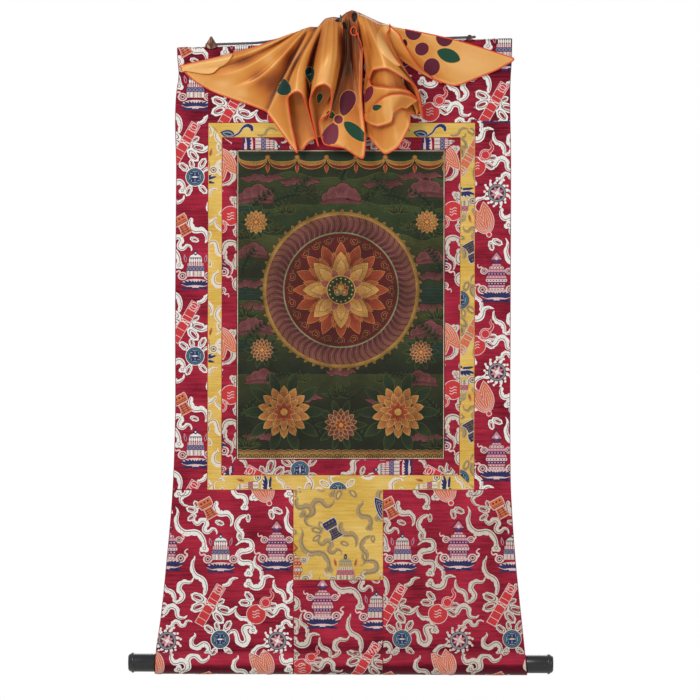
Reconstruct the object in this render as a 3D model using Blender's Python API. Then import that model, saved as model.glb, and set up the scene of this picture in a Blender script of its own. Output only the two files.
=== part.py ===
"""Hanging scroll painting in a silk brocade mount, with a gathered silk veil.

The scroll hangs from a dark cord. The origin is the point under the top of
that cord, where a nail would be. +Z is up and the painted face looks to -Y.
Every size across the face is given in face units of 1.5 mm, counted to the
right and downwards, because the pieced mount is laid out on one flat plan.
"""
import math

import bmesh
import bpy
import numpy as np
from mathutils import Vector
from mathutils.bvhtree import BVHTree

# Face plan: one unit is 1.5 mm, and the cord hangs at HANG_X, HANG_Y.
UNIT = 0.0015
HANG_X = 352.0
HANG_Y = 13.8

# Cloth and gaps
CLOTH = 0.0012
VEIL_CLOTH = 0.0010
GAP = 0.0003

# Top batten and its hem: the batten's middle lies in the plane Y = 0
BATTEN_THICK = 0.0050
BATTEN_HEIGHT = 0.0200
FACE_Y = -(BATTEN_THICK / 2 + GAP + CLOTH / 2)
TOP_BEND = -FACE_Y
TOP_EDGE = ((177.0, 47.3), (512.0, 38.1))

# Bottom roller, its ends and the sleeve round it
ROLLER_AXIS = ((128.0, 662.6), (553.5, 664.2))
SLEEVE_RADIUS = 0.0168
ROD_RADIUS = SLEEVE_RADIUS - CLOTH - 1.6 * GAP
ROD_ENDS = (156.5, 525.0)
KNOB_RADIUS = 0.0137
LIP_RADIUS = 0.0154
SPIGOT_RADIUS = 0.0070
SPIGOT_LENGTH = 0.0240

# Pieced face: borders of the plan
YELLOW_OUT = ((208.5, 123.0), (475.0, 123.0), (474.0, 489.7), (207.4, 489.7))
YELLOW_IN = ((222.0, 137.2), (460.7, 137.2), (459.6, 475.3), (221.3, 475.3))
PAINTING = ((237.0, 150.0), (445.0, 150.0), (444.3, 459.2), (236.6, 459.2))
SEAM_Y = 489.7
DOOR = ((293.5, 489.7), (382.9, 489.7), (382.9, 579.9), (293.5, 579.9))

# Outer edges of the mount: height on the plan, then the edge's place across
LEFT_EDGE = ((38, 177.0), (58, 177.6), (74, 178.9), (92, 176.6), (172, 176.3),
             (310, 175.3), (440, 174.8), (489, 172.8), (560, 166.8),
             (620, 160.5), (652, 156.0), (676, 154.6))
RIGHT_EDGE = ((38, 512.0), (60, 511.6), (76, 510.6), (160, 510.9),
              (320, 510.4), (440, 510.2), (489, 510.8), (520, 512.4),
              (560, 515.4), (600, 519.4), (640, 523.6), (676, 527.2))

# Veil: silhouette of the gathered head over the cord, across then down
VEIL_HEAD = ((298, 32.5), (302, 29.5), (310, 26.8), (318, 27.0),
             (325, 18.6), (332, 16.8), (340, 17.6), (346, 12.6),
             (352, 10.0), (358, 12.0), (365, 15.3), (380, 22.2),
             (397, 27.7))

# Veil folds, one row a fold line: where it crosses the head, then its middle
# point and its point on the hem, each as across, down and forward
VEIL_FOLDS = (
    ("wing edge left", 300.0, (247, 49.6, 3.8), (179.2, 66.2, 2.6)),
    ("wing lip", 301.5, (245, 54.5, 7.6), (180.5, 67.6, 3.2)),
    ("wing valley", 303.0, (240, 62.0, 3.6), (184.0, 71.5, 2.7)),
    ("wing field", 304.5, (245, 69.0, 7.0), (196.0, 81.8, 3.2)),
    ("wing swell", 306.0, (255, 76.0, 6.4), (213.0, 91.6, 3.0)),
    ("wing ridge", 307.5, (266, 74.0, 9.2), (233.0, 99.2, 3.6)),
    ("wing dip", 309.0, (277, 80.0, 4.6), (252.0, 105.6, 2.8)),
    ("cone root", 310.2, (281, 86.0, 5.0), (265.6, 111.0, 3.4)),
    ("cone ridge", 311.6, (277, 92.0, 12.0), (268.0, 113.4, 9.0)),
    ("cone face", 313.2, (280, 94.0, 14.0), (282.0, 133.0, 12.0)),
    ("cone tip", 314.8, (283, 95.0, 16.5), (297.3, 153.0, 14.0)),
    ("cone hem", 316.2, (286, 93.0, 20.0), (291.5, 126.0, 19.0)),
    ("first mouth left", 317.8, (291, 78.0, 24.0), (288.0, 99.0, 26.0)),
    ("first mouth top", 319.6, (300, 66.0, 27.5), (296.5, 92.2, 31.0)),
    ("first mouth right", 321.6, (306, 68.0, 26.0), (303.8, 98.0, 28.0)),
    ("second tip", 323.6, (310, 80.0, 17.0), (318.5, 146.8, 16.0)),
    ("second mouth left", 326.0, (315, 66.0, 28.0), (309.6, 104.0, 30.0)),
    ("second mouth top", 329.0, (322, 58.0, 35.5), (315.5, 88.6, 37.5)),
    ("second mouth crown", 333.0, (331, 55.0, 37.5), (324.5, 85.2, 40.0)),
    ("second mouth right", 337.0, (337, 57.0, 33.0), (331.2, 91.0, 36.0)),
    ("flap fold", 340.0, (340, 62.0, 21.0), (330.4, 112.0, 28.0)),
    ("flap lip", 342.2, (342, 62.0, 11.0), (319.5, 122.0, 23.0)),
    ("flap corner", 344.0, (344.5, 60.0, 6.0), (324.0, 144.0, 19.0)),
    ("flap middle", 346.6, (349.5, 58.0, 4.0), (344.0, 148.4, 22.5)),
    ("flap tip", 349.2, (353, 68.0, 6.4), (362.6, 158.8, 20.0)),
    ("flap side", 351.6, (356.4, 74.0, 8.6), (365.2, 138.0, 17.0)),
    ("flap back", 354.2, (359.6, 58.0, 8.0), (361.6, 98.0, 12.4)),
    ("slot", 356.4, (361.8, 34.0, 8.0), (363.0, 47.0, 8.4)),
    ("roll side", 358.4, (364.5, 54.0, 15.0), (368.4, 79.0, 24.0)),
    ("roll shoulder", 361.4, (371, 50.0, 25.0), (373.0, 71.0, 33.0)),
    ("roll crown", 365.4, (379, 49.0, 33.0), (386.5, 69.4, 40.0)),
    ("roll slope", 370.0, (387, 53.0, 30.0), (403.0, 78.6, 37.0)),
    ("roll flank", 374.4, (393, 60.0, 24.0), (416.5, 89.0, 29.0)),
    ("roll tip", 378.2, (397, 66.0, 18.0), (422.6, 118.6, 14.0)),
    ("roll back", 381.4, (396, 58.0, 14.0), (419.6, 95.0, 12.0)),
    ("roll heel", 384.2, (391, 47.0, 10.5), (404.0, 68.0, 9.0)),
    ("wing root", 386.8, (391, 42.0, 7.4), (398.5, 58.0, 6.0)),
    ("wing fold low", 388.8, (402, 50.0, 7.2), (422.0, 73.6, 3.4)),
    ("wing corner", 390.6, (414, 52.0, 8.6), (453.6, 85.6, 3.0)),
    ("wing belly", 392.4, (426, 50.0, 6.6), (475.0, 78.6, 3.2)),
    ("wing rise", 394.0, (440, 46.5, 5.0), (495.0, 70.6, 2.8)),
    ("wing top", 395.4, (452, 43.2, 4.2), (512.6, 61.0, 2.7)),
    ("wing edge right", 396.8, (455, 40.2, 3.6), (513.4, 58.2, 2.6)),
)
# Every fold line starts behind the cord, given as drop under the head and
# forward, and leaves the head towards its middle point by these shares
VEIL_BEHIND = ((9.5, -6.6), (3.6, -6.4), (0.0, -2.3))
VEIL_LEAN = ((0.045, 2.2), (0.12, 7.8))

# Second layers of the veil, seen in the open folds. They leave the first
# layer at their top, given as across and down, and go to a middle point and a
# point on the hem
ROLL_LINING = (
    ((366.8, 66.0), (363.0, 98.0, 7.0), (364.6, 130.0, 9.0)),
    ((371.0, 58.0), (370.5, 96.0, 17.0), (375.5, 145.0, 19.0)),
    ((376.0, 54.0), (380.5, 96.0, 27.0), (385.2, 154.2, 24.0)),
    ((382.0, 55.0), (389.0, 97.0, 31.0), (398.0, 147.0, 29.0)),
    ((388.0, 60.0), (398.0, 97.0, 27.0), (408.8, 127.0, 26.0)),
    ((393.0, 66.0), (405.0, 96.0, 20.0), (410.5, 114.0, 19.0)),
    ((397.0, 72.0), (411.0, 98.0, 15.0), (419.4, 117.0, 11.0)),
)
MOUTH_LINING = (
    ((284.0, 88.0), (286.0, 101.0, 9.0), (288.0, 114.0, 7.0)),
    ((292.0, 80.0), (295.0, 108.0, 10.0), (300.0, 149.6, 8.0)),
    ((302.0, 78.0), (304.5, 106.0, 12.0), (308.5, 142.0, 11.0)),
    ((312.0, 74.0), (314.5, 102.0, 14.0), (316.0, 138.0, 13.0)),
    ((323.0, 72.0), (324.0, 96.0, 18.0), (324.0, 128.0, 15.0)),
    ((334.0, 74.0), (331.5, 94.0, 21.0), (330.0, 114.0, 19.0)),
)

# Dark tie over the veil's head: place across, cord radius and the drop and
# forward of its points
TIE_ACROSS = 340.6
TIE_RADIUS = 0.0013
TIE_ROUTE = ((8.0, -8.2), (3.4, -8.2), (-0.4, -5.4), (-1.6, -2.0),
             (-0.6, 2.7), (2.2, 6.75), (4.6, 9.15))

# Hanging cord: across, down
CORD_RADIUS = 0.0020
CORD_ROUTE = ((205.6, 44.6), (211.0, 44.5), (225.0, 44.0), (241.0, 43.5),
              (257.0, 42.8), (270.0, 41.2), (280.0, 39.0), (290.0, 35.9),
              (300.0, 33.8), (315.0, 31.3), (330.0, 25.2), (343.0, 19.2),
              (352.0, 12.45), (362.0, 17.6), (380.0, 26.0), (395.0, 31.0),
              (420.0, 35.9), (441.0, 38.0), (455.0, 37.7), (469.5, 37.2),
              (475.6, 36.8))
CORD_SPACING = 0.0055

# Hanging loops at the top edge, one row a loop: middle across, half width,
# height above the edge, drop below the edge, and roundness of its outline
LOOPS = (
    ("left_loop", 211.2, 6.6, 9.6, 2.8, 1.0),
    ("right_loop", 469.6, 3.6, 4.2, 1.2, 0.45),
)
LOOP_BEND = 0.70


def place(across, down, forward=0.0):
    """Turn plan units into metres. Forward counts from the mount's cloth."""
    return Vector(((across - HANG_X) * UNIT,
                   FACE_Y - forward * UNIT,
                   (HANG_Y - down) * UNIT))


def line_at(pair, across):
    """Height on the plan of a straight line through two points."""
    (x0, y0), (x1, y1) = pair
    return y0 + (y1 - y0) * (across - x0) / (x1 - x0)


def edge_at(table, down):
    """Smooth outer edge of the mount at a height on the plan."""
    heights = np.array([row[0] for row in table], float)
    across = np.array([row[1] for row in table], float)
    slope = np.gradient(across, heights)
    i = int(np.clip(np.searchsorted(heights, down) - 1, 0, len(table) - 2))
    span = heights[i + 1] - heights[i]
    t = min(max((down - heights[i]) / span, 0.0), 1.0)
    a = 2 * t ** 3 - 3 * t ** 2 + 1
    b = t ** 3 - 2 * t ** 2 + t
    c = -2 * t ** 3 + 3 * t ** 2
    d = t ** 3 - t ** 2
    return (a * across[i] + b * span * slope[i]
            + c * across[i + 1] + d * span * slope[i + 1])


def hang_wave(across, down):
    """How far the cloth stands forward as it hangs, in plan units."""
    fade = min(max((down - 150.0) / 250.0, 0.0), 1.0)
    low = min(max((652.0 - down) / 60.0, 0.0), 1.0)
    wave = 0.55 * math.sin(across / 37.0 + down / 160.0)
    wave += 0.35 * math.sin(across / 19.0 - down / 95.0)
    return fade * low * wave


def curve_through(points, steps):
    """Centripetal curve through the points, with so many steps a stretch."""
    pts = np.array(points, float)
    ends = np.vstack([2 * pts[0] - pts[1], pts, 2 * pts[-1] - pts[-2]])
    made = []
    for i, count in enumerate(steps):
        p = ends[i:i + 4]
        gaps = np.sqrt(np.linalg.norm(np.diff(p, axis=0), axis=1))
        t0, t1, t2, t3 = np.concatenate([[0.0], np.cumsum(gaps)])
        for t in np.linspace(t1, t2, count, endpoint=False):
            a1 = (t1 - t) / (t1 - t0) * p[0] + (t - t0) / (t1 - t0) * p[1]
            a2 = (t2 - t) / (t2 - t1) * p[1] + (t - t1) / (t2 - t1) * p[2]
            a3 = (t3 - t) / (t3 - t2) * p[2] + (t - t2) / (t3 - t2) * p[3]
            b1 = (t2 - t) / (t2 - t0) * a1 + (t - t0) / (t2 - t0) * a2
            b2 = (t3 - t) / (t3 - t1) * a2 + (t - t1) / (t3 - t1) * a3
            made.append((t2 - t) / (t2 - t1) * b1 + (t - t1) / (t2 - t1) * b2)
    made.append(pts[-1])
    return np.array(made)


def even_points(points, count):
    """Evenly spaced points on the curve through the given ones."""
    fine = curve_through(points, [24] * (len(points) - 1))
    run = np.concatenate([[0.0], np.cumsum(
        np.linalg.norm(np.diff(fine, axis=0), axis=1))])
    stops = np.linspace(0.0, run[-1], count)
    return np.column_stack([np.interp(stops, run, fine[:, k])
                            for k in range(fine.shape[1])])


def material(name, colour, roughness, metallic=0.0):
    """A plain Principled material from an sRGB colour."""
    made = bpy.data.materials.get(name)
    if made:
        return made
    made = bpy.data.materials.new(name)
    made.use_nodes = True
    shader = made.node_tree.nodes["Principled BSDF"]
    linear = [(c / 12.92 if c <= 0.04045 else ((c + 0.055) / 1.055) ** 2.4)
              for c in colour]
    shader.inputs["Base Color"].default_value = (*linear, 1.0)
    shader.inputs["Roughness"].default_value = roughness
    shader.inputs["Metallic"].default_value = metallic
    return made


CRIMSON = ("crimson_brocade", (0.62, 0.10, 0.17), 0.45)
YELLOW = ("yellow_brocade", (0.87, 0.71, 0.27), 0.45)
CANVAS = ("painted_canvas", (0.24, 0.24, 0.15), 0.7)
SILK = ("orange_silk", (0.90, 0.57, 0.22), 0.4)
LACQUER = ("black_lacquer", (0.10, 0.10, 0.11), 0.3)
CORD = ("dark_cord", (0.16, 0.13, 0.15), 0.8)
LOOP = ("brown_brocade", (0.45, 0.27, 0.20), 0.6)


def add_object(name, mesh, look):
    """Link a mesh as one named piece with its material."""
    piece = bpy.data.objects.new(name, mesh)
    bpy.context.scene.collection.objects.link(piece)
    piece.data.materials.append(material(*look))
    return piece


def grid_mesh(name, grid):
    """Mesh of quads over a grid of points, rows by columns."""
    rows, columns = grid.shape[:2]
    index = np.arange(rows * columns).reshape(rows, columns)
    quads = np.stack([index[:-1, :-1], index[:-1, 1:],
                      index[1:, 1:], index[1:, :-1]], -1).reshape(-1, 4)
    mesh = bpy.data.meshes.new(name)
    mesh.from_pydata(grid.reshape(-1, 3).tolist(), [], quads.tolist())
    mesh.validate()
    return mesh


def add_sheet(name, grid, look, thickness):
    """A cloth piece: a grid surface made thick to both sides."""
    piece = add_object(name, grid_mesh(name, np.array(grid, float)), look)
    thick = piece.modifiers.new("cloth", "SOLIDIFY")
    thick.thickness = thickness
    thick.offset = 0.0
    thick.use_even_offset = True
    thick.use_rim = True
    return piece


def inset_quad(corners, gap):
    """Move each side of a four-sided plan inwards by half the gap."""
    pts = [Vector(c) for c in corners]
    centre = sum(pts, Vector((0.0, 0.0))) / 4
    sides = []
    for i in range(4):
        a = pts[i]
        along = (pts[(i + 1) % 4] - a).normalized()
        inward = Vector((-along.y, along.x))
        if inward.dot(centre - a) < 0:
            inward.negate()
        sides.append((a + inward * gap / 2 / UNIT, along))
    corners_in = []
    for i in range(4):
        a, u = sides[i - 1]
        b, v = sides[i]
        s = (b - a).cross(v) / u.cross(v)
        corners_in.append(a + u * s)
    return corners_in


def add_flat_piece(name, corners, look, across_cells, down_cells):
    """A four-sided cloth piece that hangs in the face of the mount."""
    top_left, top_right, low_right, low_left = inset_quad(corners, GAP)
    grid = []
    for v in np.linspace(0.0, 1.0, down_cells + 1):
        row = []
        for u in np.linspace(0.0, 1.0, across_cells + 1):
            top = top_left.lerp(top_right, u)
            low = low_left.lerp(low_right, u)
            spot = top.lerp(low, v)
            row.append(place(spot.x, spot.y, hang_wave(spot.x, spot.y)))
        grid.append(row)
    return add_sheet(name, grid, look, CLOTH)


def top_hem_path():
    """Path of the cloth over the batten: Y and height under the top edge."""
    path = [(FACE_Y, 0.030), (FACE_Y, 0.016), (FACE_Y, TOP_BEND + CLOTH / 2)]
    for angle in np.linspace(math.pi, 0.0, 9)[1:]:
        y = TOP_BEND * math.cos(angle)
        drop = TOP_BEND * (1 - math.sin(angle)) + CLOTH / 2
        path.append((y, drop))
    path += [(-FACE_Y, 0.014), (-FACE_Y, 0.0245), (-0.0010, 0.0290),
             (FACE_Y + CLOTH + GAP, 0.0320), (FACE_Y + CLOTH + GAP, 0.0380)]
    return path


def sleeve_path():
    """Path of the cloth round the roller: Y and height over its axis."""
    bend = SLEEVE_RADIUS - CLOTH / 2
    path = [(FACE_Y, bend + 0.0080), (FACE_Y - 0.0001, bend + 0.0024),
            (FACE_Y - 0.0016, bend + 0.0004)]
    for angle in np.linspace(math.radians(108), math.radians(396), 25):
        path.append((-bend * math.cos(angle - math.pi),
                     bend * math.sin(angle)))
    path += [(0.0072, bend - 0.0006), (0.0020, bend + 0.0024),
             (FACE_Y + CLOTH + GAP, bend + 0.0070),
             (FACE_Y + CLOTH + GAP, bend + 0.0150)]
    return path


def add_top_piece(name, left, right, low_y, look, across_cells, down_cells):
    """A face piece whose upper end is turned over the batten as a hem."""
    grid = []
    hem = top_hem_path()
    for v in np.linspace(1.0, 0.0, down_cells + 1):
        row = []
        for u in np.linspace(0.0, 1.0, across_cells + 1):
            edge_x = left(45.0) + (right(45.0) - left(45.0)) * u
            top = line_at(TOP_EDGE, edge_x) + hem[0][1] / UNIT
            down = top + (low_y - top) * v
            across = left(down) + (right(down) - left(down)) * u
            row.append(place(across, down, hang_wave(across, down)))
        grid.append(row)
    for y, drop in hem[1:]:
        row = []
        for u in np.linspace(0.0, 1.0, across_cells + 1):
            edge_x = left(45.0) + (right(45.0) - left(45.0)) * u
            down = line_at(TOP_EDGE, edge_x) + drop / UNIT
            across = left(down) + (right(down) - left(down)) * u
            spot = place(across, down)
            row.append((spot.x, y, spot.z))
        grid.append(row)
    return add_sheet(name, grid[::-1], look, CLOTH)


def add_low_piece(name, left, right, high_y, look, across_cells, down_cells):
    """A face piece whose lower end goes round the roller as a sleeve."""
    grid = []
    sleeve = sleeve_path()
    for v in np.linspace(0.0, 1.0, down_cells + 1):
        row = []
        for u in np.linspace(0.0, 1.0, across_cells + 1):
            axis_x = left(660.0) + (right(660.0) - left(660.0)) * u
            low = line_at(ROLLER_AXIS, axis_x) - sleeve[0][1] / UNIT
            down = high_y + (low - high_y) * v
            across = left(down) + (right(down) - left(down)) * u
            row.append(place(across, down, hang_wave(across, down)))
        grid.append(row)
    for y, height in sleeve[1:]:
        row = []
        for u in np.linspace(0.0, 1.0, across_cells + 1):
            axis_x = left(660.0) + (right(660.0) - left(660.0)) * u
            down = line_at(ROLLER_AXIS, axis_x) - height / UNIT
            across = left(down) + (right(down) - left(down)) * u
            spot = place(across, down)
            row.append((spot.x, y, spot.z))
        grid.append(row)
    return add_sheet(name, grid, look, CLOTH)


def seam(top, low, side):
    """A straight seam, half a gap to the side given as -1 or +1."""
    shift = side * GAP / 2 / UNIT

    def at(down):
        t = (down - top[1]) / (low[1] - top[1])
        return top[0] + (low[0] - top[0]) * t + shift

    return at


def add_mount():
    """The pieced face: strips, borders, painting, door and lower panels."""
    half = GAP / 2 / UNIT
    yo, yi, pa, do = YELLOW_OUT, YELLOW_IN, PAINTING, DOOR

    def outer_left(down):
        return edge_at(LEFT_EDGE, down)

    def outer_right(down):
        return edge_at(RIGHT_EDGE, down)

    add_top_piece("left_strip", outer_left, seam(yo[0], yo[3], -1),
                  SEAM_Y - half, CRIMSON, 2, 22)
    add_top_piece("right_strip", seam(yo[1], yo[2], 1), outer_right,
                  SEAM_Y - half, CRIMSON, 2, 22)
    add_top_piece("top_panel", seam(yo[0], yo[3], 1), seam(yo[1], yo[2], -1),
                  yo[0][1] - half, CRIMSON, 8, 2)
    names = ("top", "right", "bottom", "left")
    for i, name in enumerate(names):
        j = (i + 1) % 4
        cells = 10 if i % 2 == 0 else 12
        yellow = (yo[i], yo[j], yi[j], yi[i])
        inner = (yi[i], yi[j], pa[j], pa[i])
        add_flat_piece("yellow_border_" + name, yellow, YELLOW, cells, 1)
        add_flat_piece("red_border_" + name, inner, CRIMSON, cells, 1)
    add_flat_piece("painting", pa, CANVAS, 8, 12)
    add_flat_piece("door_panel", do, YELLOW, 4, 4)
    add_low_piece("lower_left_panel", outer_left, seam(do[0], do[3], -1),
                  SEAM_Y + half, CRIMSON, 5, 6)
    add_low_piece("lower_right_panel", seam(do[1], do[2], 1), outer_right,
                  SEAM_Y + half, CRIMSON, 5, 6)
    add_low_piece("lower_middle_panel", seam(do[0], do[3], 1),
                  seam(do[1], do[2], -1), do[2][1] + half, CRIMSON, 4, 3)


def add_turned(name, profile, look, centre, along):
    """A turned piece. The profile is radius and length along the axis."""
    mesh = bpy.data.meshes.new(name)
    points = [(radius, 0.0, height) for radius, height in profile]
    edges = [(i, i + 1) for i in range(len(points) - 1)]
    mesh.from_pydata(points, edges, [])
    piece = add_object(name, mesh, look)
    screw = piece.modifiers.new("turn", "SCREW")
    screw.steps = 24
    screw.render_steps = 24
    screw.use_merge_vertices = True
    screw.merge_threshold = 0.00001
    piece.location = centre
    piece.rotation_mode = "QUATERNION"
    piece.rotation_quaternion = Vector((0, 0, 1)).rotation_difference(along)
    return piece


def arc(centre_r, centre_z, radius, start, stop, count):
    """Points of a rounded edge in a turned profile, angles in degrees."""
    return [(centre_r + radius * math.cos(math.radians(a)),
             centre_z + radius * math.sin(math.radians(a)))
            for a in np.linspace(start, stop, count)]


def add_roller():
    """The round rod in the sleeve, and a turned knob plugged in each end."""
    (x0, y0), (x1, y1) = ROLLER_AXIS

    def on_axis(across):
        spot = place(across, line_at(ROLLER_AXIS, across))
        spot.y = 0.0
        return spot

    along = (on_axis(x1) - on_axis(x0)).normalized()
    half = (on_axis(ROD_ENDS[1]) - on_axis(ROD_ENDS[0])).length / 2
    bore = SPIGOT_RADIUS + GAP
    deep = SPIGOT_LENGTH + GAP
    rod = [(0.0, half - deep), (bore, half - deep), (bore, half)]
    rod += arc(ROD_RADIUS - 0.001, half - 0.001, 0.001, 90, 0, 3)
    rod += arc(ROD_RADIUS - 0.001, -half + 0.001, 0.001, 0, -90, 3)
    rod += [(bore, -half), (bore, -half + deep), (0.0, -half + deep)]
    centre = (on_axis(ROD_ENDS[0]) + on_axis(ROD_ENDS[1])) / 2
    add_turned("roller_rod", rod, LACQUER, centre, along)
    ends = (("left_knob", ROD_ENDS[0], x0, -along),
            ("right_knob", ROD_ENDS[1], x1, along))
    for name, inner, outer, outward in ends:
        length = (on_axis(outer) - on_axis(inner)).length
        lip = length - 0.0095
        knob = [(0.0, length), (0.0062, length - 0.0002)]
        knob += arc(0.0088, length - 0.0048, 0.0045, 80, 12, 5)
        knob += [(0.0140, lip + 0.0046)]
        knob += arc(LIP_RADIUS - 0.0018, lip + 0.0022, 0.0018, 60, -60, 5)
        knob += [(KNOB_RADIUS, lip), (KNOB_RADIUS, 0.0006 + GAP),
                 (KNOB_RADIUS - 0.0006, GAP), (SPIGOT_RADIUS, GAP),
                 (SPIGOT_RADIUS, 0.001 - SPIGOT_LENGTH + GAP),
                 (SPIGOT_RADIUS - 0.001, GAP - SPIGOT_LENGTH),
                 (0.0, GAP - SPIGOT_LENGTH)]
        add_turned(name, knob, LACQUER, on_axis(inner), outward)


def add_batten():
    """The flat wooden batten in the top hem, rounded along its length."""
    left, right = TOP_EDGE
    start = place(left[0] + 1.2, line_at(TOP_EDGE, left[0] + 1.2))
    stop = place(right[0] - 1.2, line_at(TOP_EDGE, right[0] - 1.2))
    mesh = bpy.data.meshes.new("top_batten")
    shape = bmesh.new()
    bmesh.ops.create_cube(shape, size=1.0)
    size = ((stop - start).length, BATTEN_THICK, BATTEN_HEIGHT)
    bmesh.ops.scale(shape, vec=size, verts=shape.verts)
    shape.to_mesh(mesh)
    shape.free()
    batten = add_object("top_batten", mesh, LACQUER)
    rounding = batten.modifiers.new("rounding", "BEVEL")
    rounding.width = 0.0024
    rounding.segments = 4
    drop = CLOTH + GAP + BATTEN_HEIGHT / 2
    centre = (start + stop) / 2
    batten.location = (centre.x, 0.0, centre.z - drop)
    lean = math.atan2(stop.z - start.z, stop.x - start.x)
    batten.rotation_euler = (0.0, -lean, 0.0)


def add_loops():
    """Folded brocade loops that straddle the top hem and hold the cord."""
    leg = CLOTH / 2 + GAP + CLOTH / 2 - FACE_Y
    for name, across, half_width, rise, drop, roundness in LOOPS:
        top = line_at(TOP_EDGE, across)
        grid = []
        for t in np.linspace(-1.0, 1.0, 21):
            reach = abs(t)
            if reach > LOOP_BEND:
                share = (reach - LOOP_BEND) / (1.0 - LOOP_BEND)
                down = top + drop * share
                y = math.copysign(leg, t)
                width = half_width * (1.0 - 0.85 * share)
            else:
                share = reach / LOOP_BEND
                down = top - rise * (1.0 - share)
                y = math.copysign(leg * math.sin(share * math.pi / 2) ** 0.7, t)
                width = half_width * (0.12 + 0.88 * share ** roundness)
            row = []
            for s in np.linspace(-1.0, 1.0, 5):
                spot = place(across + s * width, down)
                row.append((spot.x, y, spot.z))
            grid.append(row)
        add_sheet(name, grid, LOOP, CLOTH)


def add_tube(name, points, radius):
    """A round dark cord through the points, with closed ends."""
    curve = bpy.data.curves.new(name, "CURVE")
    curve.dimensions = "3D"
    curve.bevel_depth = radius
    curve.bevel_resolution = 2
    curve.use_fill_caps = True
    spline = curve.splines.new("POLY")
    spline.points.add(len(points) - 1)
    for point, spot in zip(spline.points, points):
        point.co = (*spot, 1.0)
    cord = bpy.data.objects.new(name, curve)
    bpy.context.scene.collection.objects.link(cord)
    curve.materials.append(material(*CORD))


def add_cords():
    """The hanging cord from loop to loop, and the tie over the veil."""
    route = [place(x, y) for x, y in CORD_ROUTE]
    route = [(p.x, 0.0, p.z) for p in route]
    length = sum(math.dist(a, b) for a, b in zip(route, route[1:]))
    points = even_points(route, int(length / CORD_SPACING))
    add_tube("hanging_cord", points, CORD_RADIUS)
    top = head_height(TIE_ACROSS)
    route = [place(TIE_ACROSS, top + drop, forward)
             for drop, forward in TIE_ROUTE]
    add_tube("gather_tie", even_points(route, 15), TIE_RADIUS)


def head_height(across):
    """Silhouette of the veil's gathered head."""
    return float(np.interp(across, [p[0] for p in VEIL_HEAD],
                           [p[1] for p in VEIL_HEAD]))


def lay_surface(lines, along_steps, across_steps):
    """Grid over fold lines: smooth along each line and across them."""
    rows = [curve_through(line, along_steps) for line in lines]
    count = (len(rows) - 1) * across_steps + 1
    grid = []
    for k in range(len(rows[0])):
        across = np.array([row[k] for row in rows])
        stops = np.linspace(0.0, len(rows) - 1.0, count)
        smooth = []
        for stop in stops:
            i = min(int(stop), len(rows) - 2)
            t = stop - i
            a = across[i]
            b = across[i + 1]
            ta = (across[min(i + 1, len(rows) - 1)] - across[max(i - 1, 0)]) / 2
            tb = (across[min(i + 2, len(rows) - 1)] - a) / 2
            smooth.append(a * (2 * t ** 3 - 3 * t ** 2 + 1)
                          + ta * 0.6 * (t ** 3 - 2 * t ** 2 + t)
                          + b * (3 * t ** 2 - 2 * t ** 3)
                          + tb * 0.6 * (t ** 3 - t ** 2))
        grid.append([place(*spot) for spot in smooth])
    return np.array(grid, float)


def on_layer(layer, across, down):
    """The plan point on the veil's first layer, seen from the front."""
    start = place(across, down, 100.0)
    hit = layer.ray_cast(start, Vector((0.0, 1.0, 0.0)))[0]
    return across, down, (FACE_Y - hit.y) / UNIT


def add_veil():
    """The silk veil, laid over the cord and bunched up in front."""
    lines = []
    for _, head, middle, hem in VEIL_FOLDS:
        top = head_height(head)
        line = [(head, top + drop, forward) for drop, forward in VEIL_BEHIND]
        for share, forward in VEIL_LEAN:
            line.append((head + share * (middle[0] - head),
                         top + share * (middle[1] - top),
                         min(forward, 2.5 + middle[2] / 2)))
        lines.append(line + [middle, hem])
    steps = (1, 2, 2, 1, 4, 5)
    veil = add_sheet("veil", lay_surface(lines, steps, 2), SILK, VEIL_CLOTH)
    layer = BVHTree.FromPolygons([v.co for v in veil.data.vertices],
                                 [p.vertices for p in veil.data.polygons])
    for name, rows in (("roll", ROLL_LINING), ("mouth", MOUTH_LINING)):
        lined = [(on_layer(layer, *top), middle, hem)
                 for top, middle, hem in rows]
        lining = add_sheet("veil_guide_" + name,
                           lay_surface(lined, (4, 4), 2), SILK, VEIL_CLOTH)
        lining.hide_render = True
        lining.display_type = "WIRE"
        union = veil.modifiers.new(name, "BOOLEAN")
        union.operation = "UNION"
        union.solver = "EXACT"
        union.object = lining


def main():
    for old in list(bpy.data.objects):
        bpy.data.objects.remove(old, do_unlink=True)
    add_mount()
    add_batten()
    add_roller()
    add_loops()
    add_cords()
    add_veil()


main()
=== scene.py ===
"""Looks of a hanging scroll: brocade mount, painted canvas, roller and veil.

Everything is laid out on the same flat plan as the solids: one plan unit is
1.5 mm, counted to the right and downwards from the top left of the picture.
"""
import math

import bmesh
import bpy
import numpy as np
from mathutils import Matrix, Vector


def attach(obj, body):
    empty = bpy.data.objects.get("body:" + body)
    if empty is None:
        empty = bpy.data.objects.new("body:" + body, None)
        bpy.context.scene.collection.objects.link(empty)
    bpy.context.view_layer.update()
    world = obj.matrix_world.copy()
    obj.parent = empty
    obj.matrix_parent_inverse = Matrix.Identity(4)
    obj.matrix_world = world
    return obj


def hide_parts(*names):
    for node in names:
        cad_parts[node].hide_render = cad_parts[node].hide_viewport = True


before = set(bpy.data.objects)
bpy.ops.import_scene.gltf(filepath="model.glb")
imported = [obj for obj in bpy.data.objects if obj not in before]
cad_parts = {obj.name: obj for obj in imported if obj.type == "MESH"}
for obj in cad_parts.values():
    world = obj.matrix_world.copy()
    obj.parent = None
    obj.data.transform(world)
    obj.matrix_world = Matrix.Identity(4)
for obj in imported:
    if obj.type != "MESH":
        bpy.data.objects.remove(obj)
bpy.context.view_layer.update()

# plan and cloth sizes, the same as in the solids
UNIT = 0.0015
PICTURE = 700.0
HANG_X = 352.0
HANG_Y = 13.8
CLOTH = 0.0012
SILK_SHEET = 0.0007
GAP = 0.0003
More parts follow.
